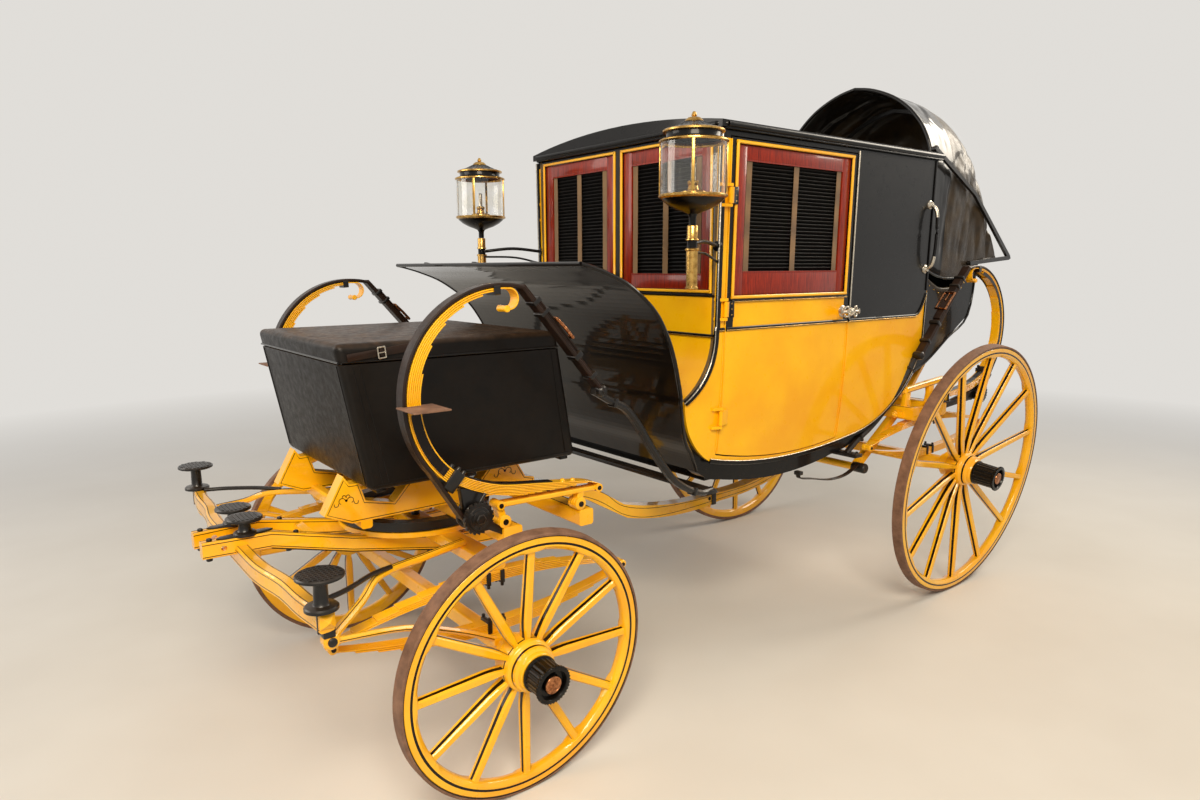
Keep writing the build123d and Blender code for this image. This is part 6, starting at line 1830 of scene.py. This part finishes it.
# Finish of the frame's own pieces
NODE_FINISH = {"yellow_paint": YELLOW, "black_lacquer": BLACK, "black_leather": PATENT,
               "brown_leather": HARNESS, "tyre_iron": TYRE, "black_iron": IRON, "mahogany": MAHOGANY,
               "seat_cloth": CLOTH, "brass": BRASS, "glass": GLASS, }
PANEL_FINISH = {"body_sides": SIDE_PAINT, "door_left": SIDE_PAINT, "door_right": SIDE_PAINT,
                "body_front": FRONT_PAINT}
for part in frame["record"]["subparts"]:
    shown = frame["nodes"][part["node"]]
    shown.data.materials.clear()
    shown.data.materials.append(PANEL_FINISH.get(part["node"], NODE_FINISH[part["material_slot"]]))


# Room: pale floor and backdrop, soft light, and the camera where the photograph was taken
EYE = (3927, 2783, 1682)
EYE_YAW = -127.949
EYE_PITCH = -9.511
EYE_ROLL = -0.19
FOCAL_SHARE = 795.76 / 1200
SENSOR_MM = 36


def place_camera():
    """The camera that took the photograph."""
    yaw, pitch, roll = (math.radians(a) for a in (EYE_YAW, EYE_PITCH, EYE_ROLL))
    ahead = Vector((math.cos(pitch) * math.cos(yaw), math.cos(pitch) * math.sin(yaw), math.sin(pitch)))
    level = ahead.cross(UP).normalized()
    right = math.cos(roll) * level + math.sin(roll) * level.cross(ahead)
    camera = bpy.data.objects.new("camera", bpy.data.cameras.new("camera"))
    camera.matrix_world = Matrix((right, right.cross(ahead), -ahead)).transposed().to_4x4()
    camera.location = spot(*EYE)
    camera.data.sensor_width = SENSOR_MM
    camera.data.lens = FOCAL_SHARE * SENSOR_MM
    bpy.context.scene.collection.objects.link(camera)
    bpy.context.scene.camera = camera


ROOM = "#E9E6E1"
ROOM_SEEN = 0.92
ROOM_LIGHT = 0.27


def seen_share(tree):
    """One for what the camera sees itself, in a gloss or through glass, nought for light on the coach."""
    seen, glossy, through = (node(tree, "LightPath", out=way)
                             for way in ("Is Camera Ray", "Is Glossy Ray", "Is Transmission Ray"))
    return node(tree, "Math.MAXIMUM", node(tree, "Math.MAXIMUM", seen, glossy), through)


def pale_stage():
    """Matt pale floor that the camera sees fade into the backdrop from 2.6 to 9 m away."""
    pale = Finish("pale_floor", Roughness=0.85)
    pale.set(Base_Color=pale.tones("#D6D2CC", "#DDDAD5", 900))
    far = pale.node("MapRange", pale.node("VectorMath.LENGTH", pale.place, out="Value"), 2.6, 9.0, 0.0, 1.0)
    share = pale.node("Math.MULTIPLY", seen_share(pale.tree), far)
    glow = pale.node("Emission", ROOM, ROOM_SEEN)
    mixed = pale.node("MixShader", share, pale.shader.outputs[0], glow)
    feed(pale.tree.nodes["Material Output"].inputs["Surface"], mixed)
    bm = bmesh.new()
    bmesh.ops.create_grid(bm, x_segments=8, y_segments=8, size=30)
    bmesh.ops.translate(bm, vec=(0, 0, -0.001), verts=bm.verts)
    mesh = bpy.data.meshes.new("floor")
    bm.to_mesh(mesh)
    bm.free()
    mesh.materials.append(pale.material)
    floor = bpy.data.objects.new("floor", mesh)
    bpy.context.scene.collection.objects.link(floor)


def softbox(name, place, aim, size, power, warmth):
    """Square soft lamp."""
    lamp = bpy.data.lights.new(name, "AREA")
    lamp.shape = "SQUARE"
    lamp.size = size
    lamp.energy = power
    lamp.color = colour(warmth)[:3]
    made = bpy.data.objects.new(name, lamp)
    made.location = place
    made.rotation_mode = "QUATERNION"
    made.rotation_quaternion = (Vector(aim) - Vector(place)).to_track_quat("-Z", "Y")
    bpy.context.scene.collection.objects.link(made)


def room_light():
    """Even pale room light; the camera, gloss and glass see a lighter room than the one that lights."""
    world = bpy.data.worlds.new("room")
    bpy.context.scene.world = world
    world.use_nodes = True
    tree = world.node_tree
    more = node(tree, "Math.MULTIPLY", seen_share(tree), ROOM_SEEN - ROOM_LIGHT)
    ground = tree.nodes["Background"]
    feed(ground.inputs["Color"], ROOM)
    feed(ground.inputs["Strength"], node(tree, "Math.ADD", ROOM_LIGHT, more))


place_camera()
pale_stage()
room_light()
softbox("key", (3.6, 4.2, 4.6), (0.2, 0.2, 1.0), 2.6, 400, "#FFF1DA")
softbox("fill", (5.2, -2.6, 3.2), (0.6, 0, 0.9), 3.0, 120, "#FFF8EE")
softbox("rear", (-4.5, 1.5, 4.2), (-0.6, 0, 1.4), 2.5, 160, "#FFF4E2")
bpy.context.scene.view_settings.view_transform = "Standard"
